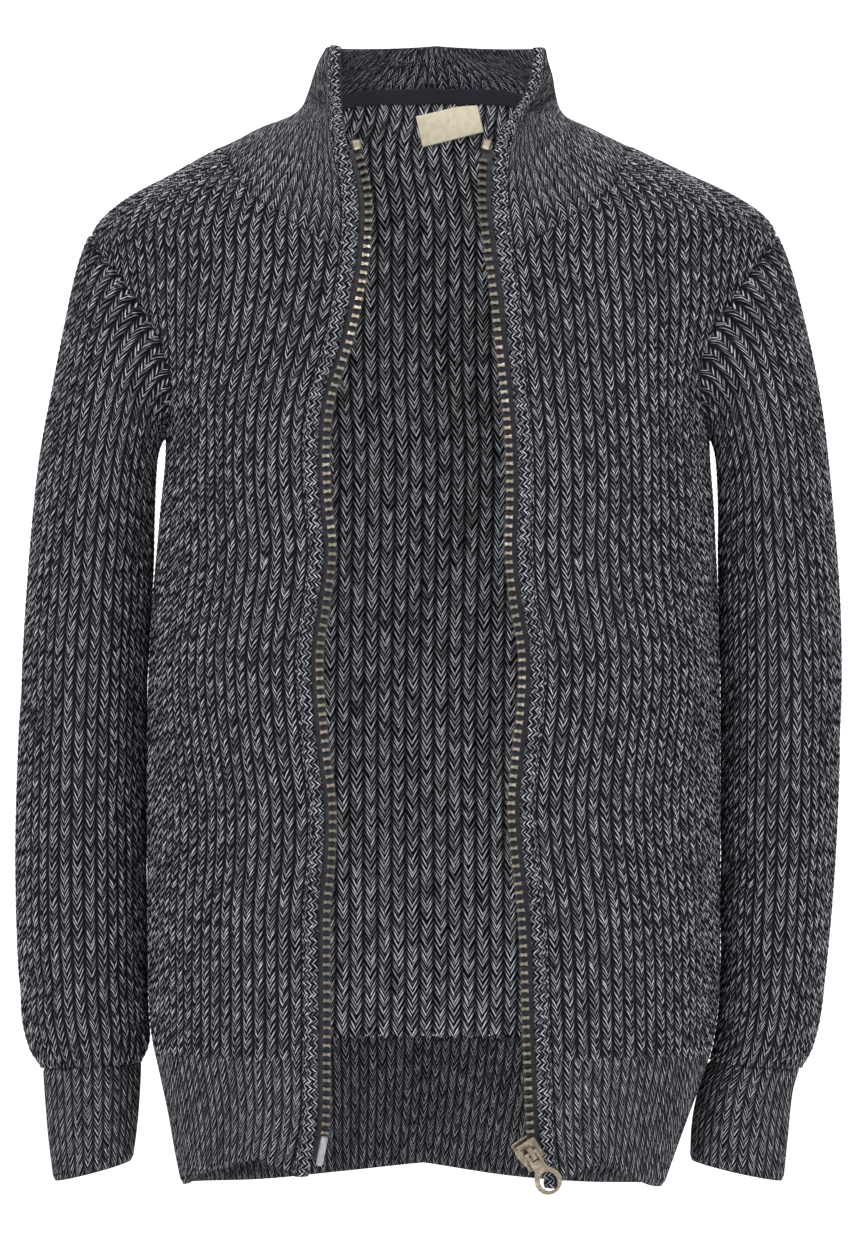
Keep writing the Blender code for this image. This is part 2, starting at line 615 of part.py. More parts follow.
def build_collar(finish, collection):
    """The funnel collar: one rib strip from band to band, spreading over the shoulders at its foot."""
    reach = (BAND_FROM_TEETH + BAND_WIDTH) / MM
    columns = rib_columns(COLLAR_LENGTH_SHARE * SKIN.half_girth(LABEL_TOP_Z / MM), COLLAR_RIB_PITCH)
    neck_foot = FRONT_NECK_Z / MM
    back = np.linspace(SIDE_RIGHT, SIDE_LEFT, EDGE_POINTS)
    foot = spread(np.concatenate((
        front_neck_seam(1)[:-1],
        pairs(back, NECK_SEAM(from_front(back))),
        front_neck_seam(-1)[::-1][1:],
    )), columns)
    top_right = opening_round(1, COLLAR_FRONT_TOP, reach)
    top_left = opening_round(-1, COLLAR_FRONT_TOP, reach)
    round_top = np.linspace(top_right, top_left, EDGE_POINTS)
    rise = np.clip((from_front(round_top) - COLLAR_RISE_FROM) / (1.0 - COLLAR_RISE_FROM), 0.0, 1.0)
    top = spread(pairs(round_top, COLLAR_FRONT_TOP + COLLAR_BACK_RISE / MM * rise), columns)
    climb_right = np.linspace(neck_foot, top[0, 1], COLLAR_ROWS)
    climb_left = np.linspace(neck_foot, top[-1, 1], COLLAR_ROWS)
    start = pairs(opening_round(1, climb_right, reach), climb_right)
    end = pairs(opening_round(-1, climb_left, reach), climb_left)
    plan = coons(foot, top, start, end)
    plan[0] += (plan[1] - plan[0]) * COLLAR_FOOT_LIFT
    return skin_wall("collar", plan, finish, collection)


def between_rows(rows, stations, heights):
    """Rows of points or normals read on the straight lines between their stations."""
    flat = rows.reshape(len(stations), -1)
    read = np.stack([np.interp(heights, stations, flat[:, k]) for k in range(flat.shape[1])], axis=-1)
    return read.reshape(len(heights), *rows.shape[1:])


def strip_along_opening(name, side, heights, reaches, outward, back, finish, collection):
    """A strip that follows one edge of the opening: rows climb, columns lie at set reaches from the teeth."""
    stations = opening_stations(side)
    around = np.stack([opening_round(side, stations, reach) for reach in reaches], axis=-1)
    if side < 0:
        around, outward = around[:, ::-1], outward[::-1]
    height = np.repeat(stations[:, None], len(reaches), axis=1)
    middle = between_rows(SKIN.point(around, height), stations, heights)
    normals = between_rows(SKIN.normal(around, height), stations, heights)
    outward = np.repeat(np.asarray(outward)[None], len(heights), axis=0)
    step = len(reaches) - 1
    return wall(name, middle, normals, outward, back, False, step, finish, collection)


def opening_stations(side, foot=None, top=None):
    """Heights up one edge of the opening, the same as the rows of the pieces beside it."""
    hem_foot, collar_top = HEM[side](BAND_PLACE), COLLAR_FRONT_TOP
    seam, armpit, neck = HEM_SEAM_Z / MM, ARMPIT_Z / MM, FRONT_NECK_Z / MM
    stations = np.concatenate((
        np.linspace(hem_foot, seam, HEM_ROWS)[:-1],
        np.linspace(seam, armpit, FRONT_LOW_ROWS)[:-1],
        np.linspace(armpit, neck, FRONT_HIGH_ROWS)[:-1],
        np.linspace(neck, collar_top, COLLAR_ROWS),
    ))
    if foot is None:
        return stations
    between = stations[(stations > foot + 1.0) & (stations < top - 1.0)]
    return np.concatenate(([foot], between, [top]))


def build_bands(finish, collection):
    """The rolled front bands, from hem to collar top, on both sides of the opening."""
    share = np.linspace(0.0, 1.0, BAND_POINTS)
    first = BAND_FROM_TEETH / MM + SEAM_GAP / MM / 2.0
    last = (BAND_FROM_TEETH + BAND_WIDTH - SEAM_GAP / 2.0) / MM
    reaches = first + (last - first) * share
    roll = WALL_GROOVE / MM + BAND_BULGE / MM * np.sin(math.pi * share) ** BAND_ROUNDNESS
    for side, name in ((-1, "front_band_left"), (1, "front_band_right")):
        heights = opening_stations(side)
        strip_along_opening(name, side, heights, reaches, roll, WALL_INSIDE / MM, finish, collection)


def build_zip_strips(tape, teeth, collection):
    """The woven tapes and the tooth chains that stand on their edges."""
    for side, word in ((-1, "left"), (1, "right")):
        foot = (TEETH_FOOT_LEFT_Z if side < 0 else TEETH_FOOT_RIGHT_Z) / MM
        heights = opening_stations(side, TAPE_FOOT_Z / MM, TAPE_TOP_Z / MM)
        reaches = np.array([TAPE_INNER_EDGE, TAPE_OUTER_EDGE]) / MM
        outward = np.full(2, TAPE_FRONT / MM)
        strip_along_opening(
            "zip_tape_" + word, side, heights, reaches, outward, -TAPE_BACK / MM, tape, collection,
        )
        heights = opening_stations(side, foot, TEETH_TOP_Z / MM)
        reaches = np.array([-TEETH_HALF_WIDTH, TEETH_HALF_WIDTH]) / MM
        outward = np.full(2, TEETH_FRONT / MM)
        strip_along_opening(
            "zip_teeth_" + word, side, heights, reaches, outward, -TEETH_BACK / MM, teeth, collection,
        )


def resampled_ring(ring, count):
    """A closed ring's points again, at equal steps from its first point."""
    closed = np.concatenate((ring, ring[:1]))
    length = np.concatenate(([0.0], np.cumsum(np.linalg.norm(np.diff(closed, axis=0), axis=1))))
    wanted = np.linspace(0.0, length[-1], count, endpoint=False)
    return np.stack([np.interp(wanted, length, closed[:, k]) for k in range(3)], axis=-1)


def tube_ring(row, columns, side, angles):
    """One section of a sleeve or cuff, from its row of the table."""
    read = dict(zip(columns, row))
    word = "left" if side < 0 else "right"
    outer_x, inner_x = side * read["outer_" + word], side * read["inner_" + word]
    centre = np.array([(outer_x + inner_x) / 2, read["centre_y"], (read["outer_z"] + read["inner_z"]) / 2])
    reach = np.array([(outer_x - inner_x) / 2, 0.0, (read["outer_z"] - read["inner_z"]) / 2])
    forward = np.array([0.0, -read["half_depth"], 0.0])
    return centre + np.cos(angles)[:, None] * reach + np.sin(angles)[:, None] * forward


ARMHOLE_FRONT_TURN = np.linspace(math.pi, 0.0, FRONT_HIGH_ROWS)
ARMHOLE_BACK_TURN = np.linspace(math.pi, 2 * math.pi, BACK_HIGH_ROWS)
ARMHOLE_TURN = np.concatenate((ARMHOLE_FRONT_TURN[::-1], ARMHOLE_BACK_TURN[1:-1]))


def sleeve_direction(side, angles):
    """Where the sleeve leaves the armhole for, at each angle."""
    edge = armhole(side, angles)
    on_edge = SKIN.point(edge[:, 0], edge[:, 1])
    return tube_ring(SLEEVE_RINGS[0], SLEEVE_COLUMNS, side, angles) - on_edge


def armhole_normals(side, angles):
    """Outward normals of the panel and of the sleeve where they meet."""
    edge = armhole(side, angles)
    panel = SKIN.normal(edge[:, 0], edge[:, 1])
    before, after = armhole(side, angles - 0.02), armhole(side, angles + 0.02)
    run = SKIN.point(after[:, 0], after[:, 1]) - SKIN.point(before[:, 0], before[:, 1])
    sleeve = np.cross(run, sleeve_direction(side, angles)) * side
    sleeve /= np.linalg.norm(sleeve, axis=1, keepdims=True)
    return panel, sleeve


def fold_of(side, angles):
    """How deep the armhole seam folds: the tangent of half the angle between panel and sleeve."""
    panel, sleeve = armhole_normals(side, angles)
    cosine = np.clip(np.sum(panel * sleeve, axis=1), -0.5, 0.9998)
    return np.sqrt((1.0 - cosine) / (1.0 + cosine))


def polygon_ring(values, corners, count):
    """Values at the corners of a closed polygon, read at equal steps round it."""
    loop = np.concatenate((corners, corners[:1]))
    length = np.concatenate(([0.0], np.cumsum(np.linalg.norm(np.diff(loop, axis=0), axis=1))))
    wanted = np.linspace(0.0, length[-1], count, endpoint=False)
    closed = np.concatenate((values, values[:1]))
    return np.stack([np.interp(wanted, length, closed[:, k]) for k in range(3)], axis=-1)


def build_sleeve(side, finish, collection):
    """One sleeve: from the armhole's own curve through hanging sections to the cuff seam."""
    dense = np.linspace(0.0, 2 * math.pi, RING_POINTS)[:-1]
    columns = rib_columns(SLEEVE_GIRTH / MM, BODY_RIB_PITCH, closed=True)
    edge = armhole(side, ARMHOLE_TURN)
    corners = SKIN.point(edge[:, 0], edge[:, 1])
    leave = sleeve_direction(side, ARMHOLE_TURN)
    away = (FOLDED_SEAM_REACH + 2.0 * SEAM_SQUEEZE * WALL_INSIDE * fold_of(side, ARMHOLE_TURN)) / MM
    leave *= away[:, None] / np.linalg.norm(leave, axis=1, keepdims=True)
    cap = SEAM_SQUEEZE * polygon_ring(armhole_normals(side, ARMHOLE_TURN)[1], corners, columns)
    rings = [polygon_ring(corners + leave, corners, columns)]
    turns = np.append(ARMHOLE_TURN, 2 * math.pi)
    loop = np.concatenate((corners, corners[:1]))
    start = np.stack([np.interp(dense, turns, loop[:, k]) for k in range(3)], axis=-1)
    for row in SLEEVE_RINGS:
        shaped = row[SLEEVE_COLUMNS.index("shaped")]
        ring = (1 - shaped) * start + shaped * tube_ring(row, SLEEVE_COLUMNS, side, dense)
        rings.append(resampled_ring(ring, columns))
    grid = np.stack(rings)[::-1]
    if side > 0:
        grid, cap = grid[:, ::-1], cap[::-1]
    normals = grid_normals(grid, closed=True)
    normals[-1] = cap
    name = "sleeve_right" if side > 0 else "sleeve_left"
    return wall(
        name, grid, normals, ribbed(grid.shape[:2]), WALL_INSIDE / MM, True, INNER_STEP, finish, collection,
    )


def build_cuff(side, finish, collection):
    """One cuff: a fine rib tube under the sleeve."""
    dense = np.linspace(0.0, 2 * math.pi, RING_POINTS)[:-1]
    columns = rib_columns(CUFF_GIRTH / MM, HEM_RIB_PITCH, closed=True)
    rings = [tube_ring(row, CUFF_COLUMNS, side, dense) for row in CUFF_RINGS]
    grid = np.stack([resampled_ring(ring, columns) for ring in rings])[::-1]
    if side > 0:
        grid = grid[:, ::-1]
    normals = grid_normals(grid, closed=True)
    grid = inset(grid, normals, closed=True)
    name = "cuff_right" if side > 0 else "cuff_left"
    return wall(
        name, grid, normals, ribbed(grid.shape[:2]), WALL_INSIDE / MM, True, INNER_STEP, finish, collection,
    )


def build_neck_tape(finish, collection):
    """The woven tape over the back neck seam, on the inside."""
    around = np.linspace(NECK_TAPE_FROM, 2.0 - NECK_TAPE_FROM, TAPE_POINTS)
    half = NECK_TAPE_HALF_HEIGHT / MM
    seam = NECK_SEAM(from_front(around))
    plan = np.stack([pairs(around, seam + level) for level in (-half, 0.0, half)])
    middle = SKIN.point(plan[..., 0], plan[..., 1])
    normals = SKIN.normal(plan[..., 0], plan[..., 1])
    front = -(WALL_INSIDE + SEAM_GAP + TAPE_CLEARANCE) / MM
    outward = np.full(plan.shape[:2], front)
    back = -front + NECK_TAPE_THICKNESS / MM
    return wall("neck_tape", middle, normals, outward, back, False, 2, finish, collection)


def build_label(finish, collection):
    """The blank neck label, hanging from under the neck tape and curling a little off the back."""
    u = np.linspace(-0.5, 0.5, LABEL_COLUMNS)
    v = np.linspace(0.0, 1.0, LABEL_ROWS)
    across, down = np.meshgrid(u * LABEL_WIDTH / MM, v * LABEL_HEIGHT / MM)
    x = LABEL_CENTRE_X / MM + across * math.cos(LABEL_TILT) + down * math.sin(LABEL_TILT)
    top = LABEL_TOP_Z / MM
    z = top + across * math.sin(LABEL_TILT) - down * math.cos(LABEL_TILT)
    z = np.minimum(z, top + LABEL_TOP_ROOM / MM)
    share = (x - SKIN.track["centre_x"](z)) / SKIN.track["half_width"](z)
    power = SKIN.track["squareness"](z)
    depth = SKIN.track["half_depth"](z) * (1.0 - np.abs(share) ** power) ** (1.0 / power)
    inside = (WALL_INSIDE + 2 * SEAM_GAP + LABEL_THICKNESS / 2.0) / MM
    y = SKIN.track["centre_y"](z) + depth - inside
    y -= LABEL_SAG / MM * (down / down.max()) ** 2
    middle = np.stack((x, y, z), axis=-1)[::-1, ::-1]
    normals = grid_normals(middle, closed=False)
    half = LABEL_THICKNESS / MM / 2.0
    outward = np.full((LABEL_ROWS, LABEL_COLUMNS), half)
    return wall("neck_label", middle, normals, outward, half, False, 2, finish, collection)


def zip_frame(side, height):
    """The frame on the teeth line at a height: x away from the opening, y up the zip, z out of the cloth."""
    place = opening_round(side, height)
    above, below = height + FRAME_PROBE, height - FRAME_PROBE
    origin = Vector(SKIN.point(place, height)) * MM
    up = Vector(SKIN.point(opening_round(side, above), above) - SKIN.point(opening_round(side, below), below))
    out = Vector(SKIN.normal(place, height))
    up = (up - out * up.dot(out)).normalized()
    across = up.cross(out).normalized()
    return Matrix.Translation(origin) @ Matrix((across, up, out)).transposed().to_4x4()


def box(name, size, centre, frame, finish, collection, bevel=0.0):
    """A block in a frame, its upright edges rounded by a bevel."""
    built = bmesh.new()
    bmesh.ops.create_cube(built, size=1.0)
    bmesh.ops.scale(built, vec=size, verts=built.verts[:])
    if bevel:
        bmesh.ops.bevel(built, geom=built.edges[:], offset=bevel, segments=1, affect="EDGES", profile=0.5)
    bmesh.ops.translate(built, vec=centre, verts=built.verts[:])
    bmesh.ops.transform(built, matrix=frame, verts=built.verts[:])
    return add_object(name, built, finish, collection)


def build_stops(finish, pin_finish, collection):
    """Top stops, the left insertion pin and the right retainer box."""
    for side, word in ((-1, "left"), (1, "right")):
        frame = zip_frame(side, (TEETH_TOP_Z + STOP_ABOVE_TEETH) / MM)
        place = (0.0, 0.0, STOP_LEVEL)
        box("top_stop_" + word, STOP_SIZE, place, frame, finish, collection, bevel=STOP_BEVEL)
    frame = zip_frame(-1, (TEETH_FOOT_LEFT_Z - PIN_BELOW_TEETH) / MM)
    box("insertion_pin", PIN_SIZE, (0.0, 0.0, PIN_LEVEL), frame, pin_finish, collection, bevel=PIN_BEVEL)


def union(base, extras):
    """Joins extra solids into the base with exact unions and removes them."""
    for extra in extras:
        join = base.modifiers.new("join", "BOOLEAN")
        join.operation = "UNION"
        join.solver = "EXACT"
        join.object = extra
    apply_modifiers(base)
    for extra in extras:
        bpy.data.objects.remove(extra)
    return base


def cut(base, cutters):
    """Cuts the cutters out of the base and removes them."""
    for cutter in cutters:
        hole = base.modifiers.new("hole", "BOOLEAN")
        hole.operation = "DIFFERENCE"
        hole.solver = "EXACT"
        hole.object = cutter
    apply_modifiers(base)
    for cutter in cutters:
        bpy.data.objects.remove(cutter)
    return base


def apply_modifiers(made):
    """Bakes an object's modifiers into its mesh."""
    bpy.context.view_layer.update()
    shaped = made.evaluated_get(bpy.context.evaluated_depsgraph_get())
    mesh = bpy.data.meshes.new_from_object(shaped)
    old = made.data
    made.modifiers.clear()
    made.data = mesh
    mesh.name = made.name
    bpy.data.meshes.remove(old)


def slider_frame():
    """The slider's frame: leaning in the plane of the cloth, shifted towards the opening."""
    lean = Matrix.Rotation(SLIDER_TILT, 4, "Z")
    shift = Matrix.Translation((-SLIDER_SHIFT, 0.0, 0.0))
    return zip_frame(1, SLIDER_Z / MM) @ shift @ lean


def pull_pin_centre():
    """The pull tab's axis in the slider's frame."""
    return Vector((0.0, 0.0, FRONT_PLATE_LEVEL + PLATE_THICKNESS + BRIDGE_RISE / 2.0))


def build_slider(finish, collection):
    """The slider: two plates on a post, and the bridge that carries the pull tab."""
    frame = slider_frame()
    plate = (SLIDER_WIDTH, SLIDER_LENGTH, PLATE_THICKNESS)
    front_z = FRONT_PLATE_LEVEL + PLATE_THICKNESS / 2.0
    back_z = BACK_PLATE_LEVEL - PLATE_THICKNESS / 2.0
    slider = box("zip_slider", plate, (0.0, 0.0, front_z), frame, finish, collection, bevel=SMALL_BEVEL)
    back = box("slider_back", plate, (0.0, 0.0, back_z), frame, finish, collection, bevel=SMALL_BEVEL)
    post_height = FRONT_PLATE_LEVEL - BACK_PLATE_LEVEL + PLATE_THICKNESS
    post_x = -SLIDER_WIDTH / 2.0 + POST_SIZE
    post_place = (post_x, 0.0, (front_z + back_z) / 2.0)
    post = box("slider_post", (POST_SIZE, POST_LENGTH, post_height), post_place, frame,
               finish, collection)
    level = FRONT_PLATE_LEVEL + PLATE_THICKNESS / 2.0
    leg_height = BRIDGE_RISE + BRIDGE_BAR + PLATE_THICKNESS / 2.0
    leg_y = (BRIDGE_OPENING + BRIDGE_BAR) / 2.0
    extras = [back, post]
    for word, y in (("low", -leg_y), ("high", leg_y)):
        size = (BRIDGE_WIDTH, BRIDGE_BAR, leg_height)
        place = (0.0, y, level + leg_height / 2.0)
        extras.append(box("bridge_leg_" + word, size, place, frame, finish, collection))
    crown_z = FRONT_PLATE_LEVEL + PLATE_THICKNESS + BRIDGE_RISE + BRIDGE_BAR / 2.0
    crown = (BRIDGE_WIDTH - CROWN_INSET, BRIDGE_OPENING + CROWN_OVERLAP * BRIDGE_BAR, BRIDGE_BAR)
    extras.append(box("bridge_crown", crown, (0.0, 0.0, crown_z), frame, finish, collection))
    return union(slider, extras)


def build_retainer(finish, collection):
    """The retainer box at the foot of the right half, just below the slider."""
    frame = slider_frame()
    low = -(SLIDER_LENGTH + RETAINER_LENGTH) / 2.0 - SEAM_GAP
    size = (RETAINER_WIDTH, RETAINER_LENGTH, RETAINER_THICKNESS)
    place = (RETAINER_SHIFT, low, RETAINER_LEVEL)
    return box("retainer_box", size, place, frame, finish, collection, bevel=SMALL_BEVEL)


def flat_outline(name, points, thickness, finish, collection):
    """A plate from a flat outline in the XY plane, thickness centred on it."""
    built = bmesh.new()
    face = built.faces.new([built.verts.new((x, y, -thickness / 2.0)) for x, y in points])
    raised = bmesh.ops.extrude_face_region(built, geom=[face])
    top = [v for v in raised["geom"] if isinstance(v, bmesh.types.BMVert)]
    bmesh.ops.translate(built, vec=(0.0, 0.0, thickness), verts=top)
    return add_object(name, built, finish, collection)


def oval(width, length, centre_y, steps=24):
    """Points of an upright oval in the XY plane."""
    turns = [2 * math.pi * k / steps for k in range(steps)]
    return [(width / 2 * math.cos(a), centre_y + length / 2 * math.sin(a)) for a in turns]


def pull_outline():
    """Outline of the pull tab below its pin: a narrow neck that widens into the ring."""
    half_neck, half_ring = PULL_NECK_WIDTH / 2.0, PULL_RING_WIDTH / 2.0
    ring_y = -PULL_LENGTH + half_ring + PULL_PIN_RADIUS
    arc = [math.radians(a) for a in range(150, 391, 15)]
    ring = [(half_ring * math.cos(a), ring_y + half_ring * math.sin(a)) for a in arc]
    neck_foot = ring[0][1] + 3.0 * MM
    left = [(-half_neck, PULL_PIN_RADIUS), (-half_neck, neck_foot)]
    right = [(half_neck, neck_foot), (half_neck, PULL_PIN_RADIUS)]
    return left + ring + right


def build_pull(finish, collection):
    """The pull tab, which hangs from the bridge by its top bar and leans with the slider."""
    tab = flat_outline("zip_pull", pull_outline(), PULL_THICKNESS, finish, collection)
    window_top = -PULL_PIN_RADIUS
    window = (PULL_WINDOW_WIDTH, PULL_WINDOW_REACH + window_top, 4 * PULL_THICKNESS)
    window_y = (window_top - PULL_WINDOW_REACH) / 2.0
    window_cut = box("pull_window", window, (0.0, window_y, 0.0), Matrix.Identity(4), finish, collection)
    hole_y = -PULL_LENGTH + PULL_RING_WIDTH / 2.0 + 0.4 * MM
    hole_cut = flat_outline(
        "pull_hole", oval(PULL_HOLE_WIDTH, PULL_HOLE_LENGTH, hole_y), 4 * PULL_THICKNESS, finish, collection,
    )
    cut(tab, [window_cut, hole_cut])
    place = slider_frame() @ Matrix.Translation(pull_pin_centre()) @ Matrix.Rotation(-PULL_LEAN, 4, "X")
    tab.matrix_world = place
    return tab


def make_finish(name):
    """A Principled material from the finish list."""
    colour, roughness, metallic = FINISHES[name]
    finish = bpy.data.materials.new(name)
    finish.use_nodes = True
    shader = finish.node_tree.nodes["Principled BSDF"]
    shader.inputs["Base Color"].default_value = (*colour, 1.0)
    shader.inputs["Roughness"].default_value = roughness
    shader.inputs["Metallic"].default_value = metallic
    finish.diffuse_color = (*colour, 1.0)
    return finish


def clear_scene():
    """Removes every object of the open file."""
    for made in list(bpy.data.objects):
        bpy.data.objects.remove(made)


def main():
    """Builds the cardigan piece by piece."""
    clear_scene()
    collection = bpy.data.collections.new("cardigan")
    bpy.context.scene.collection.children.link(collection)
    finish = {name: make_finish(name) for name in FINISHES}
    reach = (BAND_FROM_TEETH + BAND_WIDTH) / MM
    build_back(finish["marled_knit"], collection)
    for side in (-1, 1):
        build_front(side, finish["marled_knit"], collection)
        build_sleeve(side, finish["marled_knit"], collection)
        build_cuff(side, finish["marled_rib"], collection)
    build_hem("hem_back", lambda z: SIDE_RIGHT, lambda z: SIDE_LEFT, finish["marled_rib"], collection)
    build_hem("hem_right", lambda z: opening_round(1, z, reach), lambda z: SIDE_RIGHT,
              finish["marled_rib"], collection)
    build_hem("hem_left", lambda z: SIDE_LEFT, lambda z: opening_round(-1, z, reach),
              finish["marled_rib"], collection)
    build_collar(finish["marled_rib"], collection)
    build_bands(finish["marled_rib"], collection)
    build_zip_strips(finish["zip_tape"], finish["zip_teeth"], collection)
    build_stops(finish["antique_brass"], finish["grey_pin"], collection)
    build_slider(finish["antique_brass"], collection)
    build_retainer(finish["antique_brass"], collection)
    build_pull(finish["antique_brass"], collection)
    build_neck_tape(finish["navy_tape"], collection)
    build_label(finish["label_cloth"], collection)


main()
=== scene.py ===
"""Visual model of a child's zip-through cardigan in a two-ply marled rib, worn form, front open."""
import sys
import logging
import math
from dataclasses import dataclass, field
from enum import Enum

import bpy
import numpy as np
from mathutils import Matrix, Vector
from mathutils.kdtree import KDTree


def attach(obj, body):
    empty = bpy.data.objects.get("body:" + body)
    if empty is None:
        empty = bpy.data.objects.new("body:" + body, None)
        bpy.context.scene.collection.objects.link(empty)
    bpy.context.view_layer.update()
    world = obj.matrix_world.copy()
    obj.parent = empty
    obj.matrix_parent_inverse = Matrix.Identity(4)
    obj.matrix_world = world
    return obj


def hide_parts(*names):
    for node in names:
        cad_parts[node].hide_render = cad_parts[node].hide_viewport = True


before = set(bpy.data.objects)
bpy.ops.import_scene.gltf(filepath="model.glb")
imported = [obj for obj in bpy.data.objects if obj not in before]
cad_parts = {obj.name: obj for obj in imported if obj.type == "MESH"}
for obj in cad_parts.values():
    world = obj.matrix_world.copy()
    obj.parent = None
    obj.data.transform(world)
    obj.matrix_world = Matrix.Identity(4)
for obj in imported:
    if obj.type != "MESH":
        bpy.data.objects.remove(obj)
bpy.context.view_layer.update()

LOG = logging.getLogger("cardigan")
MM = 0.001

HEM_SEAM_Z, ARMPIT_Z, SHOULDER_POINT_Z = -364.0, -118.0, -38.0
FRONT_NECK_Z, SIDE_NECK_Z = -48.0, -2.0
COLLAR_FRONT_TOP_Z, COLLAR_BACK_RISE = 36.6, 5.4
ARMHOLE_FRONT_REACH, ARMHOLE_BACK_REACH = 0.135, 0.105
BAND_FROM_TEETH, BAND_WIDTH = 3.7, 6.5
PANEL_REACH = BAND_FROM_TEETH + BAND_WIDTH
TEETH_TOP_Z, TAPE_TOP_Z, TAPE_FOOT_Z = -9.5, -6.0, -403.0
TEETH_PITCH = 3.5

BODY_COLUMNS = ("height", "half_width", "centre_x", "half_depth", "centre_y", "squareness")
BODY_SECTIONS = (
    (48.0, 40.5, 0.5, 42.0, 8.0, 2.0),
    (37.0, 43.0, 0.3, 44.5, 8.0, 2.0),
    (32.0, 44.8, -0.6, 46.5, 8.0, 2.0),
    (26.0, 46.8, -0.8, 48.5, 8.0, 2.0),
    (18.0, 48.8, -1.4, 51.0, 8.0, 2.0),
    (12.0, 51.2, -2.0, 53.0, 7.5, 2.0),
    (8.0, 55.8, -3.0, 55.0, 7.0, 2.0),
    (4.0, 65.5, -4.0, 57.5, 6.5, 2.05),
    (0.0, 73.2, -3.8, 60.0, 6.0, 2.1),
    (-8.0, 89.2, -3.2, 64.5, 5.0, 2.15),
    (-16.0, 104.6, -1.8, 68.0, 4.5, 2.2),
    (-24.0, 120.6, -0.9, 71.0, 4.0, 2.2),
    (-32.0, 131.4, -0.2, 73.5, 3.5, 2.2),
    (-40.0, 136.0, -0.5, 75.5, 3.0, 2.2),
    (-50.0, 134.0, -0.5, 77.5, 3.0, 2.2),
    (-65.0, 127.0, -0.5, 79.5, 3.0, 2.25),
    (-80.0, 118.5, -0.5, 81.5, 3.0, 2.3),
    (-100.0, 110.5, 0.0, 83.0, 2.5, 2.3),
    (-118.0, 107.5, 1.0, 84.0, 2.0, 2.3),
    (-150.0, 109.5, 0.8, 85.0, 2.0, 2.3),
    (-190.0, 112.0, 0.0, 86.0, 2.0, 2.3),
    (-230.0, 113.0, -0.5, 86.5, 2.0, 2.3),
    (-300.0, 113.0, -0.5, 86.5, 2.0, 2.3),
    (-340.0, 112.6, -0.5, 85.5, 2.0, 2.3),
    (-358.0, 111.0, -0.8, 84.0, 2.0, 2.3),
    (-372.0, 107.6, -1.2, 81.5, 2.0, 2.3),
    (-390.0, 102.4, -2.6, 78.5, 2.0, 2.3),
    (-405.0, 98.4, -4.0, 76.5, 2.0, 2.3),
    (-424.0, 93.0, -5.4, 74.5, 2.0, 2.3),
)
OPENING_COLUMNS = ("height", "left_x", "right_x", "swell")
OPENING_LINE = (
    (48.0, -35.0, 37.5, 0.0),
    (30.0, -35.5, 37.0, 0.0),
    (18.0, -34.6, 33.5, 0.0),
    (8.0, -33.6, 27.5, 0.0),
    (-5.0, -31.0, 20.5, 0.0),
    (-25.0, -26.4, 18.3, 0.0),
    (-45.0, -26.5, 20.0, 0.5),
    (-65.0, -29.2, 22.7, 1.5),
    (-85.0, -33.7, 24.7, 2.0),
    (-105.0, -40.2, 26.9, 1.0),
    (-125.0, -42.3, 28.5, 0.0),
    (-145.0, -41.6, 28.9, 1.5),
    (-165.0, -39.8, 28.3, 2.5),
    (-185.0, -42.0, 30.2, 1.0),
    (-205.0, -44.8, 33.5, -0.5),
    (-225.0, -44.1, 33.1, 0.5),
    (-245.0, -42.1, 31.0, 2.0),
    (-265.0, -39.8, 29.4, 3.0),
    (-285.0, -40.2, 30.9, 2.0),
    (-305.0, -42.0, 33.2, 0.5),
    (-325.0, -42.1, 34.4, 0.0),
    (-345.0, -42.0, 35.0, 0.5),
    (-365.0, -42.2, 35.8, 0.0),
    (-391.0, -42.8, 37.0, 0.0),
    (-406.0, -45.5, 38.6, 0.0),
    (-424.0, -48.5, 40.0, 0.0),
)
NECK_COLUMNS = ("round", "seam_height")
NECK_LINE = (
    (0.00, -53.0), (0.08, -49.0), (0.12, -40.0), (0.18, -28.5), (0.33, -9.0),
    (0.50, -2.0), (0.60, 12.0), (0.75, 20.0), (1.00, 22.0),
)
HEM_COLUMNS = ("round", "left_height", "right_height")
HEM_LINE = (
    (0.00, -409.5, -414.0),
    (0.15, -409.5, -414.0),
    (0.20, -407.0, -411.5),
    (0.25, -404.0, -405.8),
    (0.30, -407.5, -409.5),
    (0.37, -411.5, -415.0),
    (0.43, -416.0, -417.0),
    (0.50, -417.0, -417.5),
    (0.60, -418.5, -419.0),
    (0.75, -420.0, -421.0),
    (0.87, -418.0, -419.5),
    (1.00, -414.5, -414.5),
)
RING_COLUMNS = (
    "outer_z", "inner_z", "outer_left", "inner_left", "outer_right", "inner_right", "centre_y", "half_depth", "shaped",
)
SLEEVE_RINGS = (
    (-48.0, -122.0, 144.0, 117.2, 142.0, 118.2, 4.0, 47.0, 0.30),
    (-66.0, -132.0, 147.0, 115.4, 146.5, 116.4, 6.5, 43.5, 0.68),
    (-96.0, -148.0, 151.5, 113.8, 152.0, 115.0, 9.0, 39.5, 1.00),
    (-136.0, -172.0, 158.6, 114.4, 157.4, 115.0, 12.0, 37.0, 1.00),
    (-200.0, -220.0, 163.9, 116.8, 161.9, 116.1, 14.0, 36.0, 1.00),
    (-280.0, -286.0, 167.2, 117.1, 160.0, 116.2, 15.0, 34.7, 1.00),
    (-340.0, -340.0, 165.6, 116.8, 155.0, 115.8, 15.0, 33.5, 1.00),
    (-361.0, -360.0, 162.6, 116.0, 151.2, 113.8, 15.0, 30.5, 1.00),
    (-371.0, -369.0, 157.2, 119.2, 146.4, 111.6, 15.0, 25.5, 1.00),
)
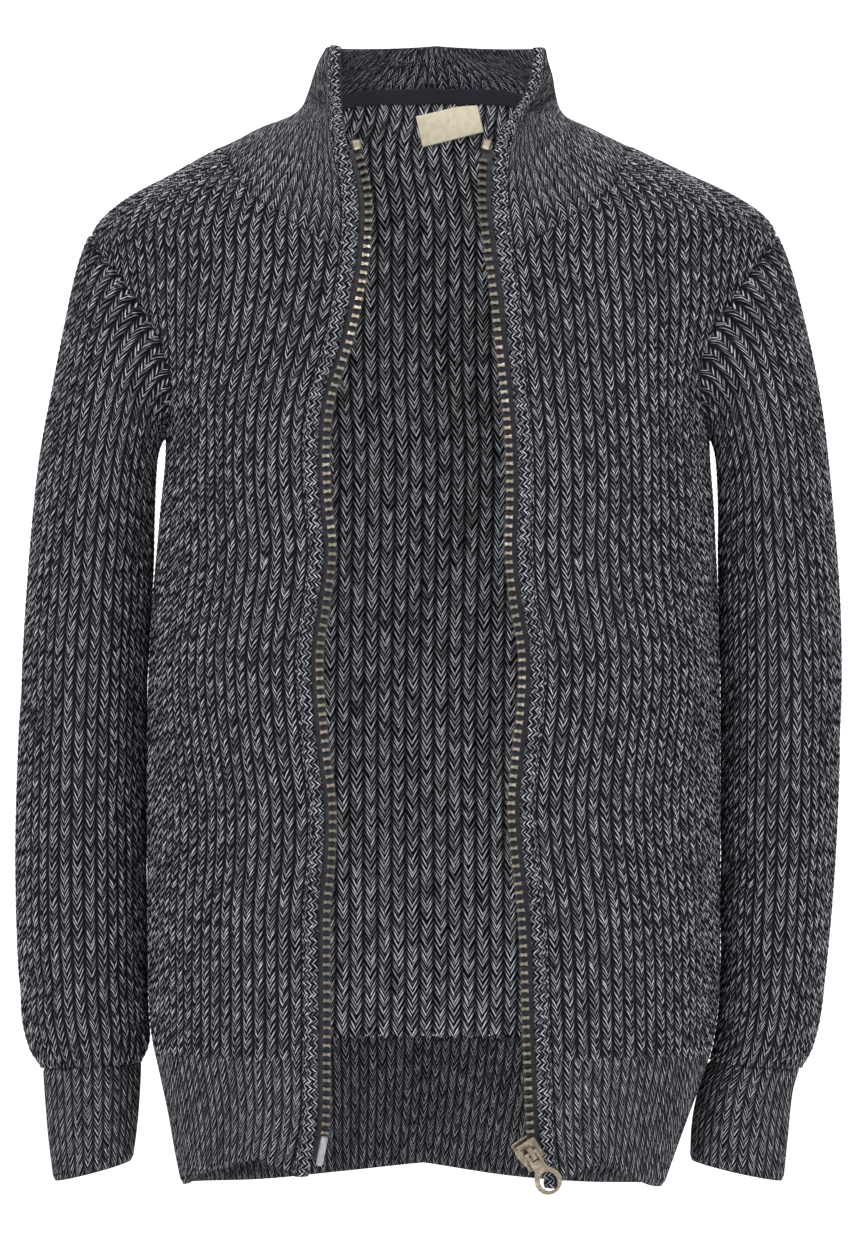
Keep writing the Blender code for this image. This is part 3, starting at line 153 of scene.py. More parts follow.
CUFF_RINGS = (
    (-371.4, -369.4, 156.0, 119.6, 145.0, 111.6, 15.0, 23.8, 1.0),
    (-382.0, -378.5, 155.4, 119.9, 142.2, 107.9, 15.0, 22.5, 1.0),
    (-399.0, -393.5, 154.0, 121.0, 140.4, 104.8, 15.0, 21.8, 1.0),
    (-417.0, -409.0, 151.8, 123.0, 138.6, 104.0, 15.0, 20.4, 1.0),
)

# Creases of the body: place round, height, tilt from level in degrees, half length, half width and depth in mm
BODY_CREASE_COLUMNS = ("round", "height", "tilt", "length", "width", "depth")
BODY_CREASES = (
    (0.40, -150.0, 74.0, 34.0, 7.0, -1.6),
    (0.44, -190.0, 82.0, 52.0, 8.5, -1.2),
    (0.33, -128.0, 58.0, 26.0, 8.0, -0.9),
    (0.30, -262.0, 96.0, 62.0, 13.0, -0.9),
    (0.22, -318.0, 84.0, 46.0, 10.0, 0.8),
    (0.41, -322.0, 100.0, 36.0, 9.0, -1.1),
    (1.60, -146.0, 104.0, 36.0, 7.5, -1.5),
    (1.56, -204.0, 98.0, 58.0, 8.0, -1.3),
    (1.68, -124.0, 122.0, 24.0, 7.0, -1.0),
    (1.70, -286.0, 86.0, 54.0, 12.0, -1.0),
    (1.78, -230.0, 94.0, 70.0, 14.0, 0.8),
    (0.72, -160.0, 66.0, 46.0, 10.0, -1.3),
    (0.88, -250.0, 94.0, 72.0, 15.0, -1.0),
    (1.14, -196.0, 84.0, 60.0, 13.0, -1.1),
    (1.30, -150.0, 116.0, 44.0, 9.0, -1.4),
    (1.04, -330.0, 88.0, 40.0, 12.0, 0.9),
)
# Creases of a sleeve: share round from its outer line, height, tilt, half length, half width and depth
SLEEVE_CREASE_COLUMNS = ("round", "height", "tilt", "length", "width", "depth")
SLEEVE_CREASES = {
    -1: (
        (0.30, -176.0, 24.0, 26.0, 6.0, -1.3),
        (0.18, -228.0, -14.0, 30.0, 7.0, -1.1),
        (0.36, -262.0, 18.0, 24.0, 6.5, -1.2),
        (0.16, -338.0, 8.0, 28.0, 5.5, -1.2),
        (0.70, -210.0, 12.0, 30.0, 7.0, -1.2),
        (0.66, -300.0, -16.0, 26.0, 6.0, -1.1),
        (0.22, -118.0, 64.0, 30.0, 8.0, -1.0),
    ),
    1: (
        (0.28, -184.0, 20.0, 28.0, 6.5, -1.2),
        (0.14, -246.0, -18.0, 26.0, 6.5, -1.0),
        (0.34, -292.0, 12.0, 26.0, 6.0, -1.3),
        (0.20, -342.0, -10.0, 24.0, 5.0, -1.1),
        (0.74, -226.0, -12.0, 28.0, 7.0, -1.2),
        (0.64, -318.0, 14.0, 24.0, 6.5, -1.0),
        (0.24, -124.0, 70.0, 32.0, 8.5, -1.1),
    ),
}


class Side(Enum):
    """The two halves as they show in the photograph."""

    LEFT = -1
    RIGHT = 1

    @property
    def word(self) -> str:
        """The half's name in piece names."""
        return "left" if self is Side.LEFT else "right"

    @property
    def seam(self) -> float:
        """The place round the body of this half's side seam."""
        return 1.5 if self is Side.LEFT else 0.5


@dataclass(frozen=True)
class Stitch:
    """How one kind of knit is spaced, raised and divided into points."""

    wale: float
    course: float
    points: int
    rows: int
    rib: float
    lobe: float
    rise: float = 1.0

    def relief(self, u: np.ndarray, v: np.ndarray) -> np.ndarray:
        """Height in mm above the groove, from wale and course numbers."""
        bulge = (0.5 - 0.5 * np.cos(2 * math.pi * u)) ** 1.3
        arm = 1.9 * np.abs(np.sin(2 * math.pi * u)) ** 0.8 * bulge
        turn = 0.35 + 0.65 * np.sin(math.pi * v) ** 2
        return self.rib * bulge + self.lobe * arm * turn

    def chevron(self, u: np.ndarray) -> np.ndarray:
        """How far in mm the arms of a stitch climb away from the middle of its wale."""
        return self.rise * self.course * np.abs(2.0 * np.mod(u, 1.0) - 1.0)


class Knit(Enum):
    """The kinds of knit on the garment."""

    FRONT = Stitch(wale=5.2, course=2.55, points=6, rows=2, rib=0.85, lobe=0.5, rise=1.7)
    SLEEVE = Stitch(wale=5.2, course=2.75, points=6, rows=2, rib=0.8, lobe=0.45, rise=1.7)
    BACK = Stitch(wale=5.4, course=2.6, points=4, rows=2, rib=0.8, lobe=0.45, rise=1.7)
    INSIDE_BACK = Stitch(wale=5.8, course=2.8, points=4, rows=2, rib=0.75, lobe=0.5, rise=1.6)
    INSIDE = Stitch(wale=5.2, course=2.75, points=2, rows=1, rib=0.5, lobe=0.0)
    RIB = Stitch(wale=4.0, course=2.3, points=4, rows=1, rib=0.95, lobe=0.2, rise=1.6)
    COLLAR = Stitch(wale=4.1, course=2.3, points=4, rows=2, rib=0.7, lobe=0.35, rise=1.6)
    BAND = Stitch(wale=3.4, course=1.9, points=4, rows=2, rib=0.35, lobe=0.4, rise=0.5)


class Track:
    """Smooth curve through one column of a table, read at any station."""

    def __init__(self, table: tuple, columns: tuple, station: str, value: str) -> None:
        """Reads the named columns and works out a slope at each station."""
        rows = sorted(table, key=lambda row: row[columns.index(station)])
        self.at = np.array([row[columns.index(station)] for row in rows], dtype=float)
        self.value = np.array([row[columns.index(value)] for row in rows], dtype=float)
        steps = np.diff(self.value) / np.diff(self.at)
        self.slope = np.concatenate(([steps[0]], (steps[1:] + steps[:-1]) / 2.0, [steps[-1]]))

    def __call__(self, station: np.ndarray) -> np.ndarray:
        """The value at one station or an array of stations."""
        station = np.clip(station, self.at[0], self.at[-1])
        i = np.clip(np.searchsorted(self.at, station) - 1, 0, len(self.at) - 2)
        span = self.at[i + 1] - self.at[i]
        t = (station - self.at[i]) / span
        keep = (1 + 2 * t) * (1 - t) ** 2 * self.value[i] + t * t * (3 - 2 * t) * self.value[i + 1]
        lean = t * (1 - t) ** 2 * self.slope[i] - t * t * (1 - t) * self.slope[i + 1]
        return keep + span * lean


def crease_depth(table: tuple, columns: tuple, across: np.ndarray, height: np.ndarray, girth: float,
                 lap: float) -> np.ndarray:
    """Soft troughs and ridges at places of a surface.

    Args:
        table: Rows of place, height, tilt in degrees, half length, half width and depth.
        columns: The names of the table's columns.
        across: Places round the surface.
        height: Heights in mm.
        girth: Millimetres in one unit round.
        lap: Units in one full turn.

    Returns:
        Offsets along the surface's normal, in mm.
    """
    total = np.zeros(np.broadcast(across, height).shape)
    for row in table:
        read = dict(zip(columns, row))
        away = (np.mod(across - read["round"] + lap / 2, lap) - lap / 2) * girth
        climb = height - read["height"]
        tilt = math.radians(read["tilt"])
        along = away * math.cos(tilt) + climb * math.sin(tilt)
        square = climb * math.cos(tilt) - away * math.sin(tilt)
        total += read["depth"] * np.exp(-(square / read["width"]) ** 2 - (along / read["length"]) ** 2)
    return total


class Skin:
    """The mid surface of body and collar, by how far round (0 front, 1 back, 2 front again) and how high."""

    def __init__(self) -> None:
        """Reads the section table and sets equal steps round the reference section."""
        self.track = {name: Track(BODY_SECTIONS, BODY_COLUMNS, "height", name) for name in BODY_COLUMNS[1:]}
        self.swell = Track(OPENING_LINE, OPENING_COLUMNS, "height", "swell")
        angle = np.linspace(0.0, math.pi / 2, 2001)
        power = 2.0 / 2.3
        x = 113.0 * np.sin(angle) ** power
        y = 86.5 * np.cos(angle) ** power
        length = np.concatenate(([0.0], np.cumsum(np.hypot(np.diff(x), np.diff(y)))))
        self.quarter_length = length / length[-1]
        self.quarter_angle = angle

    def angle_of(self, around: np.ndarray) -> np.ndarray:
        """The section angle at a place round the body."""
        around = np.mod(np.asarray(around, dtype=float), 2.0)
        quarter = np.floor(around / 0.5)
        part = around / 0.5 - quarter
        forward = np.interp(part, self.quarter_length, self.quarter_angle)
        backward = math.pi / 2 - np.interp(1.0 - part, self.quarter_length, self.quarter_angle)
        return np.where(np.mod(quarter, 2) == 0, forward, backward) + quarter * math.pi / 2

    def round_of_x(self, x: np.ndarray, height: np.ndarray) -> np.ndarray:
        """The place round the front where the skin lies x to the side of the section's centre."""
        share = np.abs(x - self.track["centre_x"](height)) / self.track["half_width"](height)
        angle = np.arcsin(np.clip(share, 0.0, 1.0) ** (self.track["squareness"](height) / 2.0))
        return 0.5 * np.interp(angle, self.quarter_angle, self.quarter_length)

    def half_girth(self, height: np.ndarray) -> np.ndarray:
        """Half the length round the section."""
        return 1.06 * math.pi * np.sqrt(
            (self.track["half_width"](height) ** 2 + self.track["half_depth"](height) ** 2) / 2.0
        )

    def bare_point(self, around: np.ndarray, height: np.ndarray) -> np.ndarray:
        """Points of the uncreased skin, in millimetres."""
        angle = self.angle_of(around)
        read = {name: track(height) for name, track in self.track.items()}
        power = 2.0 / read["squareness"]
        sine, cosine = np.sin(angle), np.cos(angle)
        x = read["centre_x"] + read["half_width"] * np.sign(sine) * np.abs(sine) ** power
        forward = np.sign(cosine) * np.abs(cosine) ** power
        y = read["centre_y"] - read["half_depth"] * forward - self.swell(height) * np.clip(forward, 0.0, 1.0) ** 3
        return np.stack(np.broadcast_arrays(x, y, height), axis=-1)

    def normal(self, around: np.ndarray, height: np.ndarray) -> np.ndarray:
        """Outward unit normals of the skin."""
        along = self.bare_point(around + 0.002, height) - self.bare_point(around - 0.002, height)
        up = self.bare_point(around, height + 0.4) - self.bare_point(around, height - 0.4)
        normal = np.cross(along, up)
        return normal / np.linalg.norm(normal, axis=-1, keepdims=True)

    def point(self, around: np.ndarray, height: np.ndarray) -> np.ndarray:
        """Points of the creased skin, in millimetres."""
        away = np.minimum(np.abs(np.mod(around, 1.0)), 1.0 - np.mod(around, 1.0))
        fade = np.clip((away - 0.12) / 0.08, 0.0, 1.0)
        depth = crease_depth(BODY_CREASES, BODY_CREASE_COLUMNS, around, height, 320.0, 2.0)
        ends = np.clip((height - HEM_SEAM_Z) / 20.0, 0.0, 1.0) * np.clip((-60.0 - height) / 40.0, 0.0, 1.0)
        depth = depth * np.where(from_front(around) < 0.5, fade, 1.0) * ends
        return self.bare_point(around, height) + self.normal(around, height) * depth[..., None]


def from_front(around: np.ndarray) -> np.ndarray:
    """How far a place lies from the centre front, 0 to 1, on either side."""
    around = np.mod(around, 2.0)
    return np.where(around <= 1.0, around, 2.0 - around)


SKIN = Skin()
NECK_SEAM = Track(NECK_LINE, NECK_COLUMNS, "round", "seam_height")
OPENING = {
    side: Track(OPENING_LINE, OPENING_COLUMNS, "height", side.word + "_x") for side in Side
}
HEM = {side: Track(HEM_LINE, HEM_COLUMNS, "round", side.word + "_height") for side in Side}


def hem_height(around: np.ndarray) -> np.ndarray:
    """The height of the hem's free edge at a place round the body."""
    share = from_front(around)
    return np.where(np.mod(around, 2.0) <= 1.0, HEM[Side.RIGHT](share), HEM[Side.LEFT](share))


def opening_round(side: Side, height: np.ndarray, reach: float = 0.0) -> np.ndarray:
    """The place round of the line that lies a reach (mm) outside the teeth line."""
    place = SKIN.round_of_x(OPENING[side](height), height) + reach / SKIN.half_girth(height)
    return place if side is Side.RIGHT else 2.0 - place


def pairs(around: np.ndarray, height: np.ndarray) -> np.ndarray:
    """Rows of (round, height)."""
    return np.stack(np.broadcast_arrays(np.asarray(around, float), np.asarray(height, float)), axis=-1)


def front_neck_seam(side: Side, count: int = 60) -> np.ndarray:
    """(round, height) pairs of the front neck seam, from the band to the shoulder."""
    around = np.linspace(opening_round(side, FRONT_NECK_Z, PANEL_REACH), side.seam, count)
    seam = NECK_SEAM(from_front(around))
    return pairs(around, seam + (FRONT_NECK_Z - seam[0]) * np.linspace(1.0, 0.0, count) ** 2)


def armhole(side: Side, angles: np.ndarray) -> np.ndarray:
    """(round, height) pairs of an armhole: 0 at the shoulder point, through the front, to the armpit at pi."""
    middle = (SHOULDER_POINT_Z + ARMPIT_Z) / 2.0
    half = (SHOULDER_POINT_Z - ARMPIT_Z) / 2.0
    reach = np.where(np.sin(angles) >= 0.0, ARMHOLE_FRONT_REACH, ARMHOLE_BACK_REACH)
    place = 0.5 - reach * np.sin(angles)
    return pairs(place if side is Side.RIGHT else 2.0 - place, middle + half * np.cos(angles))


def spread(curve: np.ndarray, count: int) -> np.ndarray:
    """A (round, height) curve's points again, at equal steps along the skin."""
    places = SKIN.bare_point(curve[:, 0], curve[:, 1])
    length = np.concatenate(([0.0], np.cumsum(np.linalg.norm(np.diff(places, axis=0), axis=1))))
    wanted = np.linspace(0.0, length[-1], count)
    return np.stack([np.interp(wanted, length, curve[:, k]) for k in range(2)], axis=-1)


def coons(bottom: np.ndarray, top: np.ndarray, start: np.ndarray, end: np.ndarray) -> np.ndarray:
    """A grid of (round, height) pairs that meets four border curves."""
    v = np.linspace(0.0, 1.0, len(start))[:, None, None]
    u = np.linspace(0.0, 1.0, len(bottom))[None, :, None]
    corners = (1 - u) * (1 - v) * bottom[0] + u * (1 - v) * bottom[-1] + (1 - u) * v * top[0] + u * v * top[-1]
    return (1 - v) * bottom[None] + v * top[None] + (1 - u) * start[:, None] + u * end[:, None] - corners


def grid_triangles(index: np.ndarray, keep: np.ndarray | None = None) -> np.ndarray:
    """Triangles over a grid of point numbers, without the ones that have lost their area.

    Args:
        index: Point numbers, rows by columns.
        keep: Which cells to build, or None for all.

    Returns:
        Rows of three point numbers, turning anticlockwise seen from the side the rows climb and columns run right on.
    """
    low_left, low_right = index[:-1, :-1], index[:-1, 1:]
    high_left, high_right = index[1:, :-1], index[1:, 1:]
    cells = np.stack((low_left, low_right, high_right, high_left), axis=-1)
    cells = cells[keep] if keep is not None else cells.reshape(-1, 4)
    triangles = np.concatenate((cells[:, [0, 1, 2]], cells[:, [0, 2, 3]]))
    bad = (triangles[:, 0] == triangles[:, 1]) | (triangles[:, 1] == triangles[:, 2])
    return triangles[~(bad | (triangles[:, 0] == triangles[:, 2]))]


def grid_normals(grid: np.ndarray, closed: bool) -> np.ndarray:
    """Normals of a grid of points, on the side from which columns run right and rows climb."""
    along = np.roll(grid, -1, axis=1) - np.roll(grid, 1, axis=1) if closed else np.gradient(grid, axis=1)
    normal = np.cross(along, np.gradient(grid, axis=0))
    return normal / np.maximum(np.linalg.norm(normal, axis=-1, keepdims=True), 1e-9)


@dataclass
class Piece:
    """A mesh of the visual model as arrays, with stitch coordinates for its shader."""

    name: str
    points: np.ndarray
    triangles: np.ndarray
    stitch: np.ndarray
    material: bpy.types.Material
    body: str = "garment"

    def build(self) -> bpy.types.Object:
        """Makes the Blender object, in metres, on its CAD body."""
        used, where = np.unique(self.triangles.ravel(), return_inverse=True)
        points, stitch = self.points[used] * MM, self.stitch[used]
        loops = where.ravel()
        mesh = bpy.data.meshes.new(self.name)
        mesh.vertices.add(len(points))
        mesh.vertices.foreach_set("co", points.ravel())
        mesh.loops.add(len(loops))
        mesh.loops.foreach_set("vertex_index", loops.astype(np.int32))
        mesh.polygons.add(len(loops) // 3)
        mesh.polygons.foreach_set("loop_start", np.arange(0, len(loops), 3, dtype=np.int32))
        mesh.update(calc_edges=True)
        layer = mesh.uv_layers.new(name="stitch")
        layer.data.foreach_set("uv", stitch[loops].ravel())
        mesh.shade_smooth()
        mesh.materials.append(self.material)
        made = bpy.data.objects.new(self.name, mesh)
        bpy.context.scene.collection.objects.link(made)
        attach(made, self.body)
        LOG.info("%s: %d triangles", self.name, len(self.triangles))
        return made


class Graph:
    """Builds shader nodes one line at a time."""

    def __init__(self, tree: bpy.types.NodeTree) -> None:
        """Keeps the tree that the nodes go into."""
        self.tree = tree

    def node(self, kind: str, inputs: dict | None = None, **settings: object) -> bpy.types.Node:
        """A node with its settings and with inputs that are values or sockets."""
        made = self.tree.nodes.new("ShaderNode" + kind)
        for key, value in settings.items():
            setattr(made, key, value)
        for key, value in (inputs or {}).items():
            self.feed(made.inputs[key], value)
        return made

    def feed(self, socket: bpy.types.NodeSocket, value: object) -> None:
        """Sets a socket to a value or links it from another socket."""
        if isinstance(value, bpy.types.NodeSocket):
            self.tree.links.new(value, socket)
        else:
            socket.default_value = value

    def math(self, operation: str, *values: object) -> bpy.types.NodeSocket:
        """One math node's output."""
        return self.node("Math", dict(enumerate(values)), operation=operation).outputs[0]

    def ramp(self, value: object, low: float, high: float, to_low: float = 0.0, to_high: float = 1.0,
             smooth: bool = True) -> bpy.types.NodeSocket:
        """A value mapped from one range to another, clamped."""
        kind = "SMOOTHSTEP" if smooth else "LINEAR"
        inputs = {0: value, 1: low, 2: high, 3: to_low, 4: to_high}
        return self.node("MapRange", inputs, interpolation_type=kind).outputs[0]

    def mix(self, factor: object, first: object, second: object) -> bpy.types.NodeSocket:
        """Two colours mixed."""
        made = self.node("Mix", {0: factor, 6: first, 7: second}, data_type="RGBA")
        return made.outputs[2]

    def noise(self, vector: object, scale: float, detail: float = 2.0, roughness: float = 0.5) -> bpy.types.NodeSocket:
        """A noise texture's value."""
        inputs = {"Vector": vector, "Scale": scale, "Detail": detail, "Roughness": roughness}
        return self.node("TexNoise", inputs).outputs[0]

    def vector(self, x: object = 0.0, y: object = 0.0, z: object = 0.0) -> bpy.types.NodeSocket:
        """Three values as a vector."""
        return self.node("CombineXYZ", {0: x, 1: y, 2: z}).outputs[0]

    def chance(self, vector: object) -> bpy.types.NodeSocket:
        """A random value that stays the same all over one cell."""
        return self.node("TexWhiteNoise", {"Vector": vector}, noise_dimensions="3D").outputs[0]


def new_group(name: str, inputs: tuple, outputs: tuple) -> tuple:
    """A shader node group with named sockets.

    Args:
        name: The group's name.
        inputs: Rows of (name, socket type, default or None).
        outputs: Rows of (name, socket type).

    Returns:
        The tree, its graph, its input node and its output node.
    """
    tree = bpy.data.node_groups.new(name, "ShaderNodeTree")
    for label, kind, default in inputs:
        socket = tree.interface.new_socket(name=label, in_out="INPUT", socket_type="NodeSocket" + kind)
        if default is not None:
            socket.default_value = default
    for label, kind in outputs:
        tree.interface.new_socket(name=label, in_out="OUTPUT", socket_type="NodeSocket" + kind)
    return tree, Graph(tree), tree.nodes.new("NodeGroupInput"), tree.nodes.new("NodeGroupOutput")


def marl_group() -> bpy.types.NodeTree:
    """Two-ply marled yarn in stitch coordinates: colour of the plies, yarn height, and painted shade between the loops
    and in the grooves between wales.
    """
    tree, graph, given, out = new_group(
        "marled_yarn",
        (
            ("Stitch", "Vector", None),
            ("Dark", "Color", (0.012, 0.012, 0.016, 1.0)),
            ("Light", "Color", (0.30, 0.31, 0.34, 1.0)),
            ("Light Share", "Float", 0.42),
            ("Gap", "Float", 0.75),
            ("Furrow Shade", "Float", 0.85),
        ),
        (("Color", "Color"), ("Height", "Float"), ("Gap Shade", "Float")),
    )
    parts = graph.node("SeparateXYZ", {0: given.outputs["Stitch"]})
    warp = graph.noise(given.outputs["Stitch"], 1.3, 3.0)
    wobble = graph.math("MULTIPLY_ADD", warp, 0.24, -0.12)
    u = graph.math("ADD", parts.outputs[0], wobble)
    v = graph.math("ADD", parts.outputs[1], wobble)
    arm = graph.math("MULTIPLY", u, 2.0)
    middle = graph.math("ABSOLUTE", graph.math("SUBTRACT", graph.math("FRACT", u), 0.5))
    arm_number = graph.math("FLOOR", arm)
    arm_share = graph.math("FRACT", arm)
    row_number = graph.math("FLOOR", v)
    row_share = graph.math("FRACT", v)
    chance = graph.chance(graph.vector(arm_number, row_number, 3.0))
    second = graph.chance(graph.vector(arm_number, row_number, 11.0))
    parity = graph.math("PINGPONG", arm_number, 1.0)
    mirrored = graph.math("ABSOLUTE", graph.math("SUBTRACT", arm_share, parity))
    bend = graph.math("MULTIPLY", mirrored, graph.math("MULTIPLY_ADD", second, 0.35, 0.1))
    phase = graph.math("ADD", graph.math("ADD", graph.math("MULTIPLY", row_share, 1.15), bend), chance)
    wave = graph.math("SINE", graph.math("MULTIPLY", phase, 2 * math.pi))
    drift = graph.noise(graph.vector(graph.math("MULTIPLY", u, 0.5), graph.math("MULTIPLY", v, 1.1), 2.0), 1.0, 2.0)
    share = graph.math("ADD", given.outputs["Light Share"], graph.math("MULTIPLY_ADD", drift, 0.5, -0.25))
    edge = graph.math("SUBTRACT", 1.0, graph.math("MULTIPLY", share, 2.0))
    light = graph.ramp(graph.math("SUBTRACT", wave, edge), -0.2, 0.4)
    strength = graph.math("MULTIPLY", light, graph.math("MULTIPLY_ADD", second, 0.9, 0.2))
    fibres = graph.noise(graph.vector(graph.math("MULTIPLY", u, 5.0), graph.math("MULTIPLY", v, 14.0)), 1.0, 4.0, 0.7)
    strength = graph.math("MULTIPLY", strength, graph.ramp(fibres, 0.3, 0.65, 0.35, 1.35, False))
    across = graph.math("SINE", graph.math("MULTIPLY", row_share, math.pi))
    along = graph.math("SINE", graph.math("MULTIPLY", arm_share, math.pi))
    roundness = graph.math("POWER", graph.math("MULTIPLY", across, graph.math("POWER", along, 0.4)), 0.6)
    # Painted shade: where the yarn loops round off, the colour is darkened.
    gap = graph.ramp(roundness, 0.0, 0.62)
    shade = graph.math("MULTIPLY_ADD", gap, given.outputs["Gap"], graph.math("SUBTRACT", 1.0, given.outputs["Gap"]))
    # Painted shade: the groove between wales is darkened in the colour.
    furrow = graph.ramp(graph.math("ADD", middle, graph.math("MULTIPLY_ADD", second, 0.1, -0.05)), 0.27, 0.42)
    shade = graph.math("MULTIPLY", shade, graph.math("SUBTRACT", 1.0, graph.math("MULTIPLY", furrow, given.outputs["Furrow Shade"])))
    base = graph.mix(strength, given.outputs["Dark"], given.outputs["Light"])
    # The painted shade between loops and in the grooves mixes the ply colour towards near black.
    dimmed = graph.mix(shade, (0.003, 0.003, 0.004, 1.0), base)
    ply = graph.math("MULTIPLY", graph.math("ABSOLUTE", wave), 0.25)
    height = graph.math("ADD", roundness, graph.math("ADD", ply, graph.math("MULTIPLY", fibres, 0.25)))
    graph.feed(out.inputs["Color"], dimmed)
    graph.feed(out.inputs["Height"], height)
    graph.feed(out.inputs["Gap Shade"], shade)
    return tree


def weave_group() -> bpy.types.NodeTree:
    """A plain or slanted weave in thread coordinates: height and a shade of the threads."""
    tree, graph, given, out = new_group(
        "weave",
        (("Threads", "Vector", None), ("Slant", "Float", 0.0), ("Relief", "Float", 1.0)),
        (("Height", "Float"), ("Shade", "Float")),
    )
    parts = graph.node("SeparateXYZ", {0: given.outputs["Threads"]})
    x, y = parts.outputs[0], graph.math("MULTIPLY_ADD", parts.outputs[0], given.outputs["Slant"], parts.outputs[1])
    checks = graph.math("PINGPONG", graph.math("ADD", graph.math("FLOOR", x), graph.math("FLOOR", y)), 1.0)
    warp = graph.math("SINE", graph.math("MULTIPLY", graph.math("FRACT", x), math.pi))
    weft = graph.math("SINE", graph.math("MULTIPLY", graph.math("FRACT", y), math.pi))
    over = graph.node("Mix", {0: checks, 2: warp, 3: weft}).outputs[0]
    fuzz = graph.noise(given.outputs["Threads"], 3.0, 3.0)
    height = graph.math("MULTIPLY", graph.math("ADD", over, graph.math("MULTIPLY", fuzz, 0.4)), given.outputs["Relief"])
    graph.feed(out.inputs["Height"], height)
    graph.feed(out.inputs["Shade"], graph.ramp(height, 0.2, 1.2, 0.55, 1.1, False))
    return tree


def wear_group() -> bpy.types.NodeTree:
    """Antique metal: dark patina in hollows and patches, rubbed bright on edges."""
    tree, graph, given, out = new_group(
        "antique_wear",
        (("Position", "Vector", None), ("Dark", "Color", None), ("Bright", "Color", None)),
        (("Color", "Color"), ("Roughness", "Float"), ("Height", "Float")),
    )
    edges = graph.ramp(graph.node("NewGeometry").outputs["Pointiness"], 0.5, 0.56)
    patches = graph.noise(given.outputs["Position"], 420.0, 4.0, 0.6)
    grain = graph.noise(given.outputs["Position"], 2600.0, 3.0, 0.6)
    rub = graph.math("ADD", graph.math("MULTIPLY", edges, 0.55), graph.ramp(patches, 0.45, 0.75, 0.0, 0.75))
    rub = graph.math("MULTIPLY", rub, graph.ramp(grain, 0.3, 0.6, 0.6, 1.0))
    graph.feed(out.inputs["Color"], graph.mix(rub, given.outputs["Dark"], given.outputs["Bright"]))
    graph.feed(out.inputs["Roughness"], graph.ramp(rub, 0.0, 1.0, 0.58, 0.3))
    graph.feed(out.inputs["Height"], graph.math("ADD", graph.math("MULTIPLY", grain, 0.5), patches))
    return tree


@dataclass(frozen=True)
class Finish:
    """Shared start of a material: a Principled shader and its graph."""

    name: str

    def start(self) -> tuple:
        """A new material with its graph and shader."""
        made = bpy.data.materials.new(self.name)
        made.use_nodes = True
        graph = Graph(made.node_tree)
        return made, graph, made.node_tree.nodes["Principled BSDF"]

    def group(self, graph: Graph, tree: bpy.types.NodeTree, inputs: dict) -> bpy.types.Node:
        """A group node with its inputs."""
        made = graph.tree.nodes.new("ShaderNodeGroup")
        made.node_tree = tree
        for key, value in inputs.items():
            graph.feed(made.inputs[key], value)
        return made

    def bump(self, graph: Graph, shader: bpy.types.Node, height: object, distance: float, strength: float) -> None:
        """Height in mm as bump on a shader."""
        made = graph.node("Bump", {"Height": height, "Distance": distance * MM, "Strength": strength})
        graph.feed(shader.inputs["Normal"], made.outputs[0])


@dataclass(frozen=True)
class MarledKnit(Finish):
    """Matte wool yarn of a light and a dark ply."""

    tree: bpy.types.NodeTree = None
    light: tuple = (0.40, 0.41, 0.445, 1.0)
    dark: tuple = (0.004, 0.004, 0.007, 1.0)
    share: float = 0.29
    # The next two fields set how strong the painted shade is between the loops and in the grooves between wales.
    gap: float = 0.9
    furrow: float = 0.95
    relief: float = 0.5

    def make(self) -> bpy.types.Material:
        """The material."""
        made, graph, shader = self.start()
        place = graph.node("UVMap", uv_map="stitch").outputs[0]
        yarn = self.group(graph, self.tree, {
            "Stitch": place, "Dark": self.dark, "Light": self.light, "Light Share": self.share, "Gap": self.gap,
            "Furrow Shade": self.furrow,
        })
        graph.feed(shader.inputs["Base Color"], yarn.outputs["Color"])
        shader.inputs["Roughness"].default_value = 0.92
        shader.inputs["Specular IOR Level"].default_value = 0.08
        self.bump(graph, shader, yarn.outputs["Height"], self.relief, 0.9)
        return made


@dataclass(frozen=True)
class WovenCloth(Finish):
    """A woven tape or label in one colour, with its thread counts and wear."""

    tree: bpy.types.NodeTree = None
    colour: tuple = (0.01, 0.01, 0.015, 1.0)
    stain: tuple = (0.02, 0.02, 0.026, 1.0)
    threads: tuple = (1.0, 1.0)
    slant: float = 0.0
    relief: float = 0.12
    sheen: float = 0.2

    def make(self) -> bpy.types.Material:
        """The material."""
        made, graph, shader = self.start()
        place = graph.node("UVMap", uv_map="stitch").outputs[0]
        threads = graph.node("VectorMath", {0: place, 1: (*self.threads, 1.0)}, operation="MULTIPLY").outputs[0]
        weave = self.group(graph, self.tree, {"Threads": threads, "Slant": self.slant})
        patches = graph.ramp(graph.noise(place, 0.35, 4.0), 0.35, 0.7)
        colour = graph.mix(patches, self.colour, self.stain)
        shaded = graph.mix(weave.outputs["Shade"], (0.0, 0.0, 0.0, 1.0), colour)
        graph.feed(shader.inputs["Base Color"], shaded)
        shader.inputs["Roughness"].default_value = 0.85
        shader.inputs["Sheen Weight"].default_value = self.sheen
        self.bump(graph, shader, weave.outputs["Height"], self.relief, 0.8)
        return made


@dataclass(frozen=True)
class AntiqueMetal(Finish):
    """Metal with a dark patina and rubbed edges."""

    tree: bpy.types.NodeTree = None
    dark: tuple = (0.055, 0.045, 0.035, 1.0)
    bright: tuple = (0.34, 0.29, 0.22, 1.0)
    metallic: float = 1.0

    def make(self) -> bpy.types.Material:
        """The material."""
        made, graph, shader = self.start()
        place = graph.node("TexCoord").outputs["Object"]
        wear = self.group(graph, self.tree, {"Position": place, "Dark": self.dark, "Bright": self.bright})
        graph.feed(shader.inputs["Base Color"], wear.outputs["Color"])
        graph.feed(shader.inputs["Roughness"], wear.outputs["Roughness"])
        shader.inputs["Metallic"].default_value = self.metallic
        self.bump(graph, shader, wear.outputs["Height"], 0.08, 0.5)
        return made


